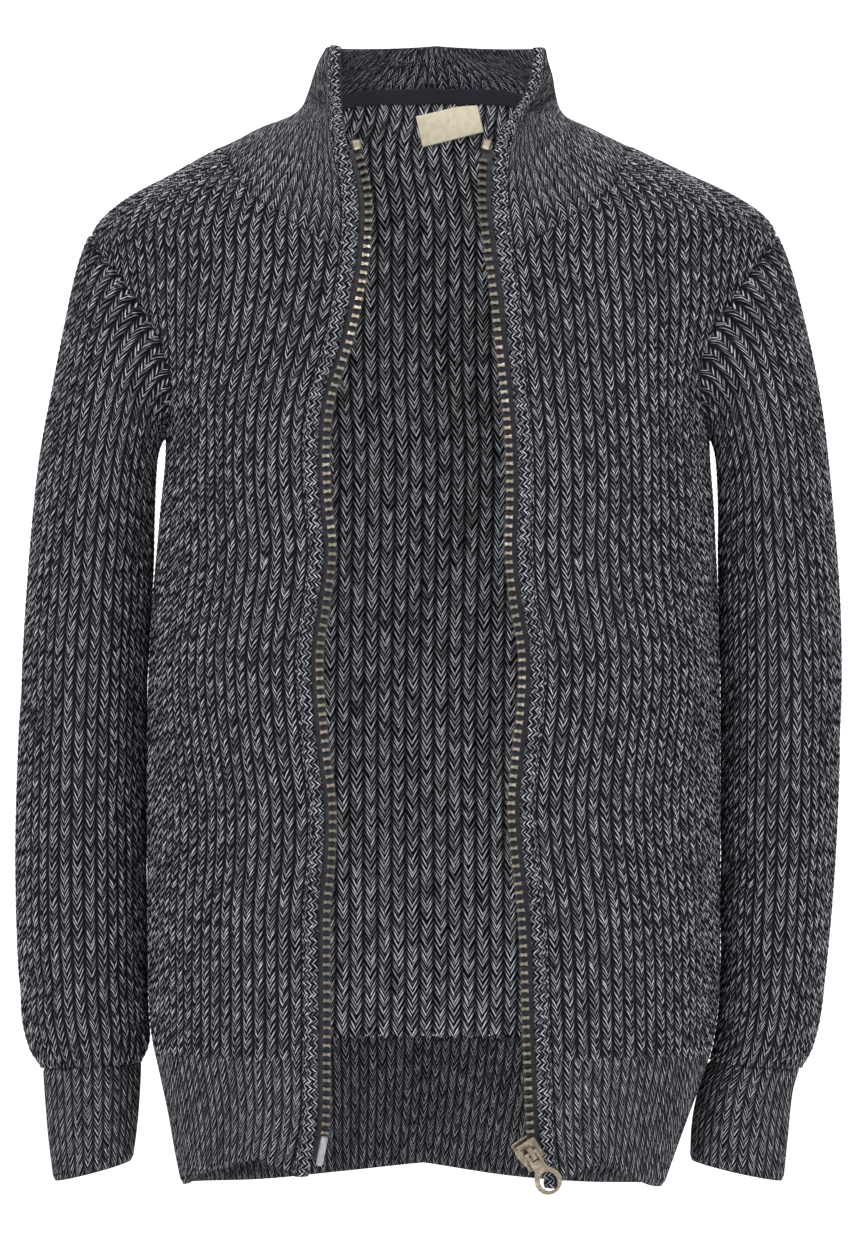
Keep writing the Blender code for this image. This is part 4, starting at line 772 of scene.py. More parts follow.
@dataclass(frozen=True)
class PaleBackdrop(Finish):
    """The plain floor and wall."""

    colour: tuple = (0.86, 0.86, 0.86, 1.0)

    def make(self) -> bpy.types.Material:
        """The material."""
        made, graph, shader = self.start()
        place = graph.node("TexCoord").outputs["Object"]
        tone = graph.ramp(graph.noise(place, 1.5, 3.0), 0.3, 0.7, 0.985, 1.0)
        graph.feed(shader.inputs["Base Color"], graph.mix(tone, (0.8, 0.8, 0.8, 1.0), self.colour))
        shader.inputs["Roughness"].default_value = 0.9
        return made


@dataclass
class Wardrobe:
    """Every material of the garment, made once."""

    made: dict = field(default_factory=dict)

    def __post_init__(self) -> None:
        """Makes the node groups and the materials."""
        marl, weave, wear = marl_group(), weave_group(), wear_group()
        finishes = (
            MarledKnit("marled_knit", tree=marl),
            # Painted light: the inside faces use a brightened copy of the same yarn, with a much lighter light ply,
            # more of it and less groove shade. It stands in for light on faces that lie in shade.
            MarledKnit("marled_inside_painted_light", tree=marl, share=0.42, light=(0.78, 0.79, 0.84, 1.0), furrow=0.88),
            MarledKnit("marled_rib", tree=marl, share=0.3, furrow=0.85, relief=0.4),
            MarledKnit("marled_band", tree=marl, share=0.3, furrow=0.3, relief=0.35, gap=0.85),
            WovenCloth("zip_tape", tree=weave, threads=(2.2, 2.2), slant=0.5),
            WovenCloth("navy_tape", tree=weave, colour=(0.003, 0.0035, 0.011, 1.0), stain=(0.006, 0.007, 0.018, 1.0), sheen=0.03,
                       threads=(1.6, 1.6), slant=1.0),
            WovenCloth("label_cloth", tree=weave, colour=(0.78, 0.71, 0.55, 1.0), stain=(0.7, 0.61, 0.44, 1.0),
                       threads=(3.0, 3.0), relief=0.05, sheen=0.0),
            AntiqueMetal("antique_brass", tree=wear),
            AntiqueMetal("zip_teeth", tree=wear, dark=(0.045, 0.038, 0.032, 1.0), bright=(0.23, 0.2, 0.165, 1.0)),
            AntiqueMetal("grey_pin", tree=wear, dark=(0.13, 0.13, 0.14, 1.0), bright=(0.3, 0.3, 0.31, 1.0),
                         metallic=0.3),
            PaleBackdrop("backdrop"),
        )
        self.made = {finish.name: finish.make() for finish in finishes}

    def __getitem__(self, name: str) -> bpy.types.Material:
        """A material by its finish's name."""
        return self.made[name]


@dataclass
class TrimmedPanel:
    """A knitted panel whose wales run straight up from the hem seam and are cut at its borders."""

    name: str
    knit: Stitch
    side: Side | None
    outward: float
    face: int = 1

    def inside(self, around: np.ndarray, height: np.ndarray) -> np.ndarray:
        """Which places lie on the panel."""
        share = from_front(around)
        half = (SHOULDER_POINT_Z - ARMPIT_Z) / 2.0
        climb = (height - (SHOULDER_POINT_Z + ARMPIT_Z) / 2.0) / half
        if self.side is None:
            hole = ((share - 0.5) / ARMHOLE_BACK_REACH) ** 2 + climb ** 2 < 1.0
            return ~hole & (share >= 0.5) & (height <= np.maximum(NECK_SEAM(share), self.shoulder(share)))
        hole = ((0.5 - share) / ARMHOLE_FRONT_REACH) ** 2 + climb ** 2 < 1.0
        seam = front_neck_seam(self.side)
        top = np.interp(share, from_front(seam[:, 0]), seam[:, 1])
        foot = from_front(opening_round(self.side, np.minimum(height, FRONT_NECK_Z), PANEL_REACH))
        return ~hole & (share <= 0.5) & (share >= foot - 1e-4) & (height <= top)

    @staticmethod
    def shoulder(share: np.ndarray) -> np.ndarray:
        """A low bound that keeps the very edge of the shoulder."""
        return np.where(share < 0.5005, SIDE_NECK_Z, -1e3)

    def border(self) -> np.ndarray:
        """(round, height) pairs all along the panel's edge."""
        runs = []
        if self.side is None:
            for side in Side:
                runs.append(armhole(side, np.linspace(math.pi, 2 * math.pi, 700)))
                runs.append(pairs(side.seam, np.linspace(HEM_SEAM_Z, ARMPIT_Z, 900)))
                runs.append(pairs(side.seam, np.linspace(SHOULDER_POINT_Z, SIDE_NECK_Z, 250)))
            neck = np.linspace(0.5, 1.5, 1500)
            runs.append(pairs(neck, NECK_SEAM(from_front(neck))))
        else:
            runs.append(armhole(self.side, np.linspace(0.0, math.pi, 700)))
            runs.append(pairs(self.side.seam, np.linspace(HEM_SEAM_Z, ARMPIT_Z, 900)))
            runs.append(pairs(self.side.seam, np.linspace(SHOULDER_POINT_Z, SIDE_NECK_Z, 250)))
            runs.append(front_neck_seam(self.side, 700))
        return np.concatenate(runs)

    def layout(self) -> tuple:
        """Round and height of every point, with wale and course numbers, before trimming."""
        heights = np.concatenate((np.arange(HEM_SEAM_Z, SHOULDER_POINT_Z, 4.0), np.arange(SHOULDER_POINT_Z, 26.0, 1.5)))
        reach = np.linspace(0.0, 0.54, 260)
        if self.side is None:
            wales = int(np.ceil(350.0 / self.knit.wale))
            span = np.arange(-wales * self.knit.points, wales * self.knit.points + 1) / self.knit.points
        else:
            wales = int(np.ceil(146.0 / self.knit.wale))
            span = np.arange(0, wales * self.knit.points + 1) / self.knit.points
        places = []
        for height in heights:
            first = 1.0 if self.side is None else opening_round(self.side, min(height, FRONT_NECK_Z), PANEL_REACH)
            turn = -1.0 if self.side is Side.LEFT else 1.0
            line = SKIN.bare_point(first + turn * reach, np.full(len(reach), height))
            length = np.concatenate(([0.0], np.cumsum(np.linalg.norm(np.diff(line, axis=0), axis=1))))
            away = np.interp(np.abs(span) * self.knit.wale, length, reach)
            places.append(first + turn * np.sign(span) * away)
        places = np.stack(places)
        lines = SKIN.bare_point(places, heights[:, None])
        steps = np.linalg.norm(np.diff(lines, axis=0), axis=-1)
        climb = np.concatenate((np.zeros((1, len(span))), np.cumsum(steps, axis=0)))
        rows = np.arange(-2 * self.knit.rows, int(np.max(climb) / self.knit.course * self.knit.rows)) / self.knit.rows
        wanted = np.maximum(rows[:, None] * self.knit.course + self.knit.chevron(span)[None], 0.0)
        height = np.stack([np.interp(wanted[:, i], climb[:, i], heights) for i in range(len(span))], axis=1)
        around = np.stack([np.interp(height[:, i], heights, places[:, i]) for i in range(len(span))], axis=1)
        u = np.broadcast_to(span, height.shape)
        v = (wanted - self.knit.chevron(span)[None]) / self.knit.course
        return around, height, u, v

    def piece(self, material: bpy.types.Material) -> Piece:
        """The panel's face as arrays."""
        around, height, u, v = self.layout()
        rows, columns = around.shape
        middle_round = (around[:-1, :-1] + around[1:, 1:] + around[:-1, 1:] + around[1:, :-1]) / 4.0
        middle_height = (height[:-1, :-1] + height[1:, 1:] + height[:-1, 1:] + height[1:, :-1]) / 4.0
        keep = self.inside(middle_round, middle_height) & (height[1:, :-1] > HEM_SEAM_Z)
        used = np.zeros((rows, columns), bool)
        for rise in (0, 1):
            for run in (0, 1):
                used[rise:rows - 1 + rise, run:columns - 1 + run] |= keep
        out = used & ~self.inside(around, height)
        border = self.border()
        tree = KDTree(len(border))
        for k, place in enumerate(SKIN.bare_point(border[:, 0], border[:, 1])):
            tree.insert(place, k)
        tree.balance()
        moved = SKIN.bare_point(around[out], height[out])
        nearest = [tree.find(place)[1] for place in moved]
        around, height = around.copy(), height.copy()
        around[out], height[out] = border[nearest, 0], border[nearest, 1]
        relief = self.knit.relief(u, v)
        relief[out] *= 0.2
        points = SKIN.point(around, height)
        points += SKIN.normal(around, height) * (self.outward + self.face * relief)[..., None]
        index = np.arange(rows * columns).reshape(rows, columns)
        if (self.side is Side.LEFT) != (self.face < 0):
            index, keep = index[:, ::-1], keep[:, ::-1]
        triangles = grid_triangles(index, keep)
        stitch = np.stack((u, v), axis=-1).reshape(-1, 2)
        return Piece(self.name, points.reshape(-1, 3), triangles, stitch, material)


@dataclass
class ColumnSheet:
    """Knit that starts at a straight edge and is cut along a seam: every wale has its own line of points."""

    name: str
    knit: Stitch
    lines: np.ndarray
    closed: bool
    outward: float = 0.6
    inward: float | None = None
    steps_round: int = 1
    flip: bool = False

    def climb(self, column: int) -> np.ndarray:
        """Lengths along one column's line."""
        steps = np.linalg.norm(np.diff(self.lines[column], axis=0), axis=1)
        return np.concatenate(([0.0], np.cumsum(steps)))

    def piece(self, material: bpy.types.Material) -> Piece:
        """The sheet as arrays, one face or a closed wall."""
        count = len(self.lines)
        u = np.arange(count) / self.knit.points
        climbs = [self.climb(i) for i in range(count)]
        longest = max(climb[-1] for climb in climbs)
        rows = np.arange(-2 * self.knit.rows, int(longest / self.knit.course * self.knit.rows) + 2) / self.knit.rows
        base, level, first, last = [], [], [], []
        for i in range(count):
            rise = self.knit.chevron(u[i])
            wanted = rows * self.knit.course + rise
            first.append(np.searchsorted(wanted, 0.0, side="right") - 1)
            last.append(np.searchsorted(wanted, climbs[i][-1]))
            wanted = np.clip(wanted, 0.0, climbs[i][-1])
            base.append(np.stack([np.interp(wanted, climbs[i], self.lines[i][:, k]) for k in range(3)], axis=-1))
            level.append((wanted - rise) / self.knit.course)
        base, level = np.stack(base, axis=1), np.stack(level, axis=1)
        normals = self.normals(climbs, base)
        shape = level.shape
        row_numbers = np.arange(shape[0])[:, None]
        row_numbers = np.clip(row_numbers, np.array(first)[None], np.minimum(np.array(last), shape[0] - 1)[None])
        index = row_numbers * count + np.arange(count)[None]
        wale = np.broadcast_to(u, shape)
        relief = self.knit.relief(wale, level)
        ends = (row_numbers == row_numbers[0]) | (row_numbers == row_numbers[-1])
        relief = relief * np.where(ends, 0.25, 1.0)
        outer = (base + normals * (self.outward + relief)[..., None]).reshape(-1, 3)
        stitch = np.stack((wale, level), axis=-1).reshape(-1, 2)
        if self.closed:
            index = np.concatenate((index, index[:, :1]), axis=1)
        if self.flip:
            index = index[:, ::-1]
        if self.inward is None:
            return Piece(self.name, outer, grid_triangles(index), stitch, material)
        inner = (base - normals * (self.inward + 0.5 * relief)[..., None]).reshape(-1, 3)
        loop = np.concatenate((index, index[::-1] + len(outer), index[:1]))
        triangles = grid_triangles(loop)
        if not self.closed:
            caps = []
            for column in (0, -1):
                strip = np.stack((index[:, column], index[:, column] + len(outer)), axis=1)
                caps.append(grid_triangles(strip if column == 0 else strip[:, ::-1])[:, ::-1])
            triangles = np.concatenate([triangles, *caps])
        points = np.concatenate((outer, inner))
        return Piece(self.name, points, triangles, np.concatenate((stitch, stitch)), material)

    def normals(self, climbs: list, base: np.ndarray) -> np.ndarray:
        """Normals of the lines' surface, read where the points lie."""
        count = self.lines.shape[1]
        grid = np.stack([
            np.stack([np.interp(np.linspace(0, climb[-1], count), climb, line[:, k]) for k in range(3)], axis=-1)
            for climb, line in zip(climbs, self.lines)
        ], axis=1)
        normals = grid_normals(grid, self.closed)
        read = []
        for i, climb in enumerate(climbs):
            steps = np.linalg.norm(np.diff(base[:, i], axis=0), axis=1)
            share = np.concatenate(([0.0], np.cumsum(steps))) / max(climb[-1], 1e-6) * (count - 1)
            read.append(np.stack([np.interp(share, np.arange(count), normals[:, i, k]) for k in range(3)], axis=-1))
        read = np.stack(read, axis=1)
        return read / np.linalg.norm(read, axis=-1, keepdims=True) * (-1.0 if self.flip else 1.0)


def whole_wales(length: float, knit: Stitch, closed: bool) -> int:
    """How many columns of points hold whole wales along a length in mm."""
    spans = max(1, round(length / knit.wale)) * knit.points
    return spans if closed else spans + 1


@dataclass
class Body:
    """Back and fronts: each a knitted face outside and a plainer one inside."""

    wardrobe: Wardrobe

    def build(self) -> None:
        """Builds the panels' outer and inner faces."""
        knit, inside = self.wardrobe["marled_knit"], self.wardrobe["marled_inside_painted_light"]
        back = TrimmedPanel("back_panel_face", Knit.BACK.value, None, 0.5).piece(knit).build()
        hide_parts("back_panel")
        lining = TrimmedPanel("back_panel_inside", Knit.INSIDE_BACK.value, None, -0.6, -1).piece(inside).build()
        for side in Side:
            face = TrimmedPanel(f"front_{side.word}_face", Knit.FRONT.value, side, 0.5).piece(knit).build()
            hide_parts(f"front_{side.word}")
            under = TrimmedPanel(f"front_{side.word}_inside", Knit.INSIDE.value, side, -0.6, -1).piece(inside).build()


@dataclass
class Sleeves:
    """Both sleeves with their cuffs."""

    wardrobe: Wardrobe
    turns: np.ndarray = field(default_factory=lambda: np.linspace(0.0, 2 * math.pi, 361))

    def ring(self, row: tuple, side: Side) -> np.ndarray:
        """One section of a sleeve or cuff from its row of the table."""
        read = dict(zip(RING_COLUMNS, row))
        outer, inner = side.value * read["outer_" + side.word], side.value * read["inner_" + side.word]
        centre = np.array([(outer + inner) / 2, read["centre_y"], (read["outer_z"] + read["inner_z"]) / 2])
        reach = np.array([(outer - inner) / 2, 0.0, (read["outer_z"] - read["inner_z"]) / 2])
        forward = np.array([0.0, -read["half_depth"], 0.0])
        return centre + np.cos(self.turns)[:, None] * reach + np.sin(self.turns)[:, None] * forward

    @staticmethod
    def even(ring: np.ndarray, count: int) -> np.ndarray:
        """A closed ring's points again, at equal steps."""
        length = np.concatenate(([0.0], np.cumsum(np.linalg.norm(np.diff(ring, axis=0), axis=1))))
        wanted = np.linspace(0.0, length[-1], count, endpoint=False)
        return np.stack([np.interp(wanted, length, ring[:, k]) for k in range(3)], axis=-1)

    def lines(self, table: tuple, side: Side, count: int, cap: bool) -> np.ndarray:
        """Lines of points up the sleeve, one for each column, from cuff to armhole."""
        rings = []
        if cap:
            edge = armhole(side, self.turns)
            start = SKIN.bare_point(edge[:, 0], edge[:, 1])
            first = self.ring(table[0], side)
            leave = first - start
            leave /= np.linalg.norm(leave, axis=1, keepdims=True)
            rings.append(self.even(start + 0.9 * leave, count))
        for row in table:
            ring = self.ring(row, side)
            if cap:
                shaped = row[-1]
                ring = (1 - shaped) * start + shaped * ring
            rings.append(self.even(ring, count))
        rings = np.stack(rings[::-1])
        at = np.arange(len(rings), dtype=float)
        fine = np.linspace(0.0, len(rings) - 1.0, 12 * (len(rings) - 1) + 1)
        flat = rings.reshape(len(rings), -1)
        slope = np.gradient(flat, axis=0)
        i = np.clip(fine.astype(int), 0, len(rings) - 2)
        t = (fine - at[i])[:, None]
        smooth = (
            (1 + 2 * t) * (1 - t) ** 2 * flat[i] + t * t * (3 - 2 * t) * flat[i + 1]
            + t * (1 - t) ** 2 * slope[i] - t * t * (1 - t) * slope[i + 1]
        )
        return smooth.reshape(len(fine), count, 3).transpose(1, 0, 2)

    def creased(self, lines: np.ndarray, side: Side) -> np.ndarray:
        """The sleeve's lines with its creases pressed in."""
        normals = grid_normals(lines.transpose(1, 0, 2), True).transpose(1, 0, 2) * -side.value
        share = (np.arange(len(lines)) / len(lines))[:, None]
        depth = crease_depth(SLEEVE_CREASES[side.value], SLEEVE_CREASE_COLUMNS, share, lines[..., 2], 190.0, 1.0)
        ends = np.clip(np.arange(lines.shape[1]) / 8.0, 0, 1) * np.clip(
            (lines.shape[1] - 1 - np.arange(lines.shape[1])) / 14.0, 0, 1)
        return lines + normals * (depth * ends)[..., None]

    def build(self) -> None:
        """Builds both sleeves and cuffs."""
        for side in Side:
            flip = side is Side.RIGHT
            for knit, word, level, material in (
                (Knit.SLEEVE.value, "face", 0.5, "marled_knit"), (Knit.INSIDE.value, "inside", -0.9, "marled_inside_painted_light"),
            ):
                count = whole_wales(196.0, knit, True)
                lines = self.creased(self.lines(SLEEVE_RINGS, side, count, True), side)
                sheet = ColumnSheet(f"sleeve_{side.word}_{word}", knit, lines, True, level, flip=flip)
                made = sheet.piece(self.wardrobe[material]).build()
                if word == "face":
                    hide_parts(f"sleeve_{side.word}")
            knit = Knit.RIB.value
            count = whole_wales(124.0, knit, True)
            lines = self.lines(CUFF_RINGS, side, count, False)
            cuff = ColumnSheet(f"cuff_{side.word}_rib", knit, lines, True, 0.6, 0.8, flip=flip)
            made = cuff.piece(self.wardrobe["marled_rib"]).build()
            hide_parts(f"cuff_{side.word}")


@dataclass
class Ribs:
    """The hem rib in three stretches and the funnel collar."""

    wardrobe: Wardrobe

    def hem_lines(self, start: object, end: object, count: int) -> np.ndarray:
        """Lines of points up the hem rib, from its free edge to its seam."""
        share = np.linspace(0.0, 1.0, count)
        rows = []
        for climb in np.linspace(0.0, 1.0, 25):
            guess = (1 - climb) * -414.0 + climb * HEM_SEAM_Z
            around = start(guess) + (end(guess) - start(guess)) * share
            height = (1 - climb) * hem_height(around) + climb * (HEM_SEAM_Z + 1.0)
            rows.append(SKIN.point(around, height))
        return np.stack(rows, axis=1)

    def collar_lines(self, count: int) -> np.ndarray:
        """Lines of points down the collar, from its top edge to the neck seam."""
        back = np.linspace(0.5, 1.5, 121)
        foot = spread(np.concatenate((
            front_neck_seam(Side.RIGHT)[:-1],
            pairs(back, NECK_SEAM(from_front(back))),
            front_neck_seam(Side.LEFT)[::-1][1:],
        )), count)
        ends = [opening_round(side, COLLAR_FRONT_TOP_Z, PANEL_REACH) for side in (Side.RIGHT, Side.LEFT)]
        top_round = np.linspace(*ends, 241)
        rise = np.clip((from_front(top_round) - 0.35) / 0.65, 0.0, 1.0)
        top = spread(pairs(top_round, COLLAR_FRONT_TOP_Z + COLLAR_BACK_RISE * rise), count)
        rows = 41
        climb = np.linspace(FRONT_NECK_Z, COLLAR_FRONT_TOP_Z, rows)
        start = pairs(opening_round(Side.RIGHT, climb, PANEL_REACH), climb)
        end = pairs(opening_round(Side.LEFT, climb, PANEL_REACH), climb)
        plan = coons(foot, top, start, end)[::-1]
        return SKIN.bare_point(plan[..., 0], plan[..., 1]).transpose(1, 0, 2)

    def build(self) -> None:
        """Builds the hem rib's stretches and the collar."""
        knit, rib = Knit.RIB.value, self.wardrobe["marled_rib"]
        stretches = (
            ("hem_back", lambda z: 0.5, lambda z: 1.5, 0.33),
            ("hem_right", lambda z: opening_round(Side.RIGHT, z, PANEL_REACH), lambda z: 0.5, 0.105),
            ("hem_left", lambda z: 1.5, lambda z: opening_round(Side.LEFT, z, PANEL_REACH), 0.1),
        )
        for name, start, end, length in stretches:
            lines = self.hem_lines(start, end, whole_wales(length / MM, knit, False))
            made = ColumnSheet(name + "_rib", knit, lines, False, 0.6, 0.8).piece(rib).build()
            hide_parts(name)
        knit = Knit.COLLAR.value
        lines = self.collar_lines(whole_wales(350.0, knit, False))
        collar = ColumnSheet("collar_rib", knit, lines, False, 0.5, 0.7, flip=True)
        made = collar.piece(rib).build()
        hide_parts("collar")


def zip_frames(side: Side, heights: np.ndarray) -> tuple:
    """Places and directions along the teeth line: origin, away from the opening, up, and out of the cloth."""
    def read(z: np.ndarray) -> np.ndarray:
        """The teeth line at heights."""
        return SKIN.bare_point(opening_round(side, z), z)

    out = SKIN.normal(opening_round(side, heights), heights)
    up = read(heights + 3.0) - read(heights - 3.0)
    up -= out * np.sum(up * out, axis=-1, keepdims=True)
    up /= np.linalg.norm(up, axis=-1, keepdims=True)
    return read(heights), np.cross(up, out) * side.value * 1.0, up, out


@dataclass
class Opening:
    """The rolled bands, woven tapes and tooth chains of one half of the opening."""

    wardrobe: Wardrobe
    side: Side

    def even_heights(self, foot: float, top: float, step: float) -> np.ndarray:
        """Heights at equal steps of length along the teeth line."""
        z = np.linspace(foot, top, 1200)
        line = SKIN.bare_point(opening_round(self.side, z), z)
        length = np.concatenate(([0.0], np.cumsum(np.linalg.norm(np.diff(line, axis=0), axis=1))))
        return np.interp(np.arange(0.0, length[-1], step), length, z)

    def strip(self, name: str, heights: np.ndarray, profile: np.ndarray, step: float, across: float,
              material: bpy.types.Material, knit: Stitch | None = None) -> bpy.types.Object:
        """A closed strip along the opening.

        Args:
            name: The piece's name.
            heights: Heights of its rows.
            profile: Closed outline as rows of (reach from the teeth, height above the skin), in mm.
            step: Length between rows, in stitch or thread units.
            across: Length round the outline of one unit, in mm.
            material: Its material.
            knit: The stitch raised on it, if it is knitted.

        Returns:
            The Blender object.
        """
        reach, level = profile[:, 0], profile[:, 1]
        around = np.stack([opening_round(self.side, heights, r) for r in reach], axis=1)
        z = np.repeat(heights[:, None], len(reach), axis=1)
        run = np.concatenate(([0.0], np.cumsum(np.linalg.norm(np.diff(profile, axis=0), axis=1)))) / across
        u = np.broadcast_to((np.arange(len(heights)) * step)[:, None], z.shape)
        v = np.broadcast_to(run, z.shape)
        rise = np.broadcast_to(level, z.shape).copy()
        points = SKIN.bare_point(around, z) + SKIN.normal(around, z) * rise[..., None]
        if knit is not None:
            normals = grid_normals(np.concatenate((points[:, -2:-1], points, points[:, 1:2]), axis=1), False)[:, 1:-1]
            shift = v - knit.rise * np.abs(2.0 * np.mod(u, 1.0) - 1.0)
            points = points + normals * (knit.relief(u, shift) * self.side.value)[..., None]
            v = shift
        rows, columns = z.shape
        index = np.arange(rows * columns).reshape(rows, columns)
        index[:, -1] = index[:, 0]
        fans = []
        for row, turn in ((0, 1), (rows - 1, -1)):
            ring = index[row, :-1][::-turn]
            fans.append(np.array([(ring[0], ring[k], ring[k + 1]) for k in range(1, len(ring) - 1)]))
        triangles = np.concatenate([grid_triangles(index), *fans])
        if self.side is Side.LEFT:
            triangles = triangles[:, ::-1]
        stitch = np.stack((u, v), axis=-1).reshape(-1, 2)
        return Piece(name, points.reshape(-1, 3), triangles, stitch, material).build()

    def build_band(self) -> None:
        """The rolled knit edge beside the zip, with its wales across it."""
        knit = Knit.BAND.value
        foot = HEM[self.side](0.15)
        share = np.linspace(0.0, 1.0, 15)
        low, high = BAND_FROM_TEETH + 0.2, PANEL_REACH - 0.2
        outer = np.stack((low + (high - low) * share, 0.2 + 2.0 * np.sin(math.pi * share) ** 0.6), axis=1)
        inner = np.stack((high + (low - high) * share[::3], -0.9 - 0.3 * np.sin(math.pi * share[::3])), axis=1)
        profile = np.concatenate((outer, inner, outer[:1]))
        heights = self.even_heights(foot, COLLAR_FRONT_TOP_Z, knit.wale / knit.points)
        band = self.strip(f"front_band_{self.side.word}_roll", heights, profile, 1.0 / knit.points, knit.course,
                          self.wardrobe["marled_band"], knit)
        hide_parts(f"front_band_{self.side.word}")

    def build_tape(self) -> None:
        """The woven tape that the teeth stand on."""
        share = np.linspace(-1.0, 8.0, 10)
        front = np.stack((share, np.full(10, -1.65)), axis=1)
        back = np.stack((share[::-1], np.full(10, -2.55)), axis=1)
        profile = np.concatenate((front, back, front[:1]))
        heights = self.even_heights(TAPE_FOOT_Z, TAPE_TOP_Z, 1.0)
        tape = self.strip(f"zip_tape_{self.side.word}_weave", heights, profile, 1.0, 1.0, self.wardrobe["zip_tape"])
        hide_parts(f"zip_tape_{self.side.word}")

    def build_teeth(self) -> None:
        """The chain: a row of metal teeth, each with a narrow neck and a rounded head."""
        outline = np.array((
            (-1.75, -0.42), (-1.3, -0.82), (-0.6, -0.72), (-0.1, -0.5), (0.7, -0.78), (1.7, -0.95),
            (1.7, 0.95), (0.7, 0.78), (-0.1, 0.5), (-0.6, 0.72), (-1.3, 0.82), (-1.75, 0.42),
        ))
        levels = ((-1.05, 0.9), (-0.8, 1.0), (0.95, 1.0), (1.25, 0.8))
        corners = len(outline)
        local = np.concatenate([np.column_stack((outline * size, np.full(corners, z))) for z, size in levels])
        ring = np.arange(corners)
        index = np.stack([np.append(ring, 0) + k * corners for k in range(len(levels))])
        top = (len(levels) - 1) * corners
        caps = [(top, top + k, top + k + 1) for k in range(1, corners - 1)]
        caps += [(0, k + 1, k) for k in range(1, corners - 1)]
        faces = np.concatenate((grid_triangles(index), np.array(caps)))
        foot = -393.0 if self.side is Side.LEFT else -402.6
        heights = self.even_heights(foot + 1.0, TEETH_TOP_Z - 0.6, TEETH_PITCH)
        origin, across, up, out = zip_frames(self.side, heights)
        axes = np.stack((across, up, out), axis=1)
        points = np.einsum("pk,tkd->tpd", local, axes) + origin[:, None]
        if np.linalg.det(axes[0]) < 0:
            faces = faces[:, ::-1]
        triangles = (faces[None] + (np.arange(len(heights)) * len(local))[:, None, None]).reshape(-1, 3)
        stitch = np.zeros((points.size // 3, 2))
        chain = Piece(f"zip_teeth_{self.side.word}_chain", points.reshape(-1, 3), triangles, stitch,
                      self.wardrobe["zip_teeth"])
        made = chain.build()
        made.data.polygons.foreach_set("use_smooth", np.zeros(len(triangles), bool))
        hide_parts(f"zip_teeth_{self.side.word}")

    def build(self) -> None:
        """Builds band, tape and teeth."""
        self.build_band()
        self.build_tape()
        self.build_teeth()


@dataclass
class Hardware:
    """Slider, pull tab, stops, pin and retainer box, which keep their CAD form under rounded edges."""

    wardrobe: Wardrobe

    def build(self) -> None:
        """Gives each CAD node its metal and softens its edges."""
        for name, metal, width in (
            ("zip_slider", "antique_brass", 0.18), ("zip_pull", "antique_brass", 0.22),
            ("retainer_box", "antique_brass", 0.2), ("top_stop_left", "antique_brass", 0.3),
            ("top_stop_right", "antique_brass", 0.3), ("insertion_pin", "grey_pin", 0.25),
        ):
            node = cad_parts[name]
            node.data.materials.clear()
            node.data.materials.append(self.wardrobe[metal])
            edge = node.modifiers.new("edges", "BEVEL")
            edge.width, edge.segments, edge.limit_method = width * MM, 3, "ANGLE"
            edge.angle_limit = math.radians(35.0)
            LOG.info("%s: kept from the packed model", name)


@dataclass
class NeckTrim:
    """The navy tape over the back neck seam and the blank label that hangs from it."""

    wardrobe: Wardrobe

    def wall(self, name: str, middle: np.ndarray, half: float, unit: float,
             material: bpy.types.Material) -> bpy.types.Object:
        """A thin closed sheet on a grid of points, with thread coordinates in units of mm."""
        rows, columns = middle.shape[:2]
        normals = grid_normals(middle, False)
        size = rows * columns
        points = np.concatenate(((middle + normals * half).reshape(-1, 3), (middle - normals * half).reshape(-1, 3)))
        index = np.arange(size).reshape(rows, columns)
        around = np.concatenate((index[0], index[1:, -1], index[-1, -2::-1], index[-2::-1, 0]))
        rim = np.stack((around + size, around))
        triangles = np.concatenate((grid_triangles(index), grid_triangles(index[:, ::-1] + size), grid_triangles(rim)))
        along = np.linalg.norm(np.diff(middle, axis=1), axis=-1).mean()
        climb = np.linalg.norm(np.diff(middle, axis=0), axis=-1).mean()
        u, v = np.meshgrid(np.arange(columns) * along / unit, np.arange(rows) * climb / unit)
        stitch = np.stack((u, v), axis=-1).reshape(-1, 2)
        return Piece(name, points, triangles, np.concatenate((stitch, stitch)), material).build()

    def build(self) -> None:
        """Builds the tape and the label."""
        around = np.linspace(0.66, 1.34, 121)
        sag = 0.5 * np.sin(np.linspace(0.0, 5.0 * math.pi, 121))
        levels = np.linspace(-3.0, 3.0, 9)[:, None]
        seam = NECK_SEAM(from_front(around))[None]
        places = np.broadcast_to(around, (9, 121))
        heights = seam + levels + 0.25 * sag[None]
        middle = SKIN.bare_point(places, heights) - SKIN.normal(places, heights) * 1.95
        tape = self.wall("neck_tape_weave", middle, 0.42, 1.0, self.wardrobe["navy_tape"])
        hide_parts("neck_tape")
        u, v = np.meshgrid(np.linspace(-0.5, 0.5, 41) * 25.5, np.linspace(0.0, 1.0, 21) * 12.5)
        tilt = math.radians(13.0)
        x = 4.6 + u * math.cos(tilt) + v * math.sin(tilt)
        z = np.minimum(16.2 + u * math.sin(tilt) - v * math.cos(tilt), 17.2)
        share = (x - SKIN.track["centre_x"](z)) / SKIN.track["half_width"](z)
        power = SKIN.track["squareness"](z)
        y = SKIN.track["centre_y"](z) + SKIN.track["half_depth"](z) * (1 - np.abs(share) ** power) ** (1 / power)
        y = y - 2.2 - 1.2 * (v / 12.5) ** 2 - 0.35 * np.sin(u / 4.0) * (v / 12.5)
        middle = np.stack((x, y, z), axis=-1)[::-1, ::-1]
        label = self.wall("neck_label_cloth", middle, 0.35, 1.0, self.wardrobe["label_cloth"])
        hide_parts("neck_label")


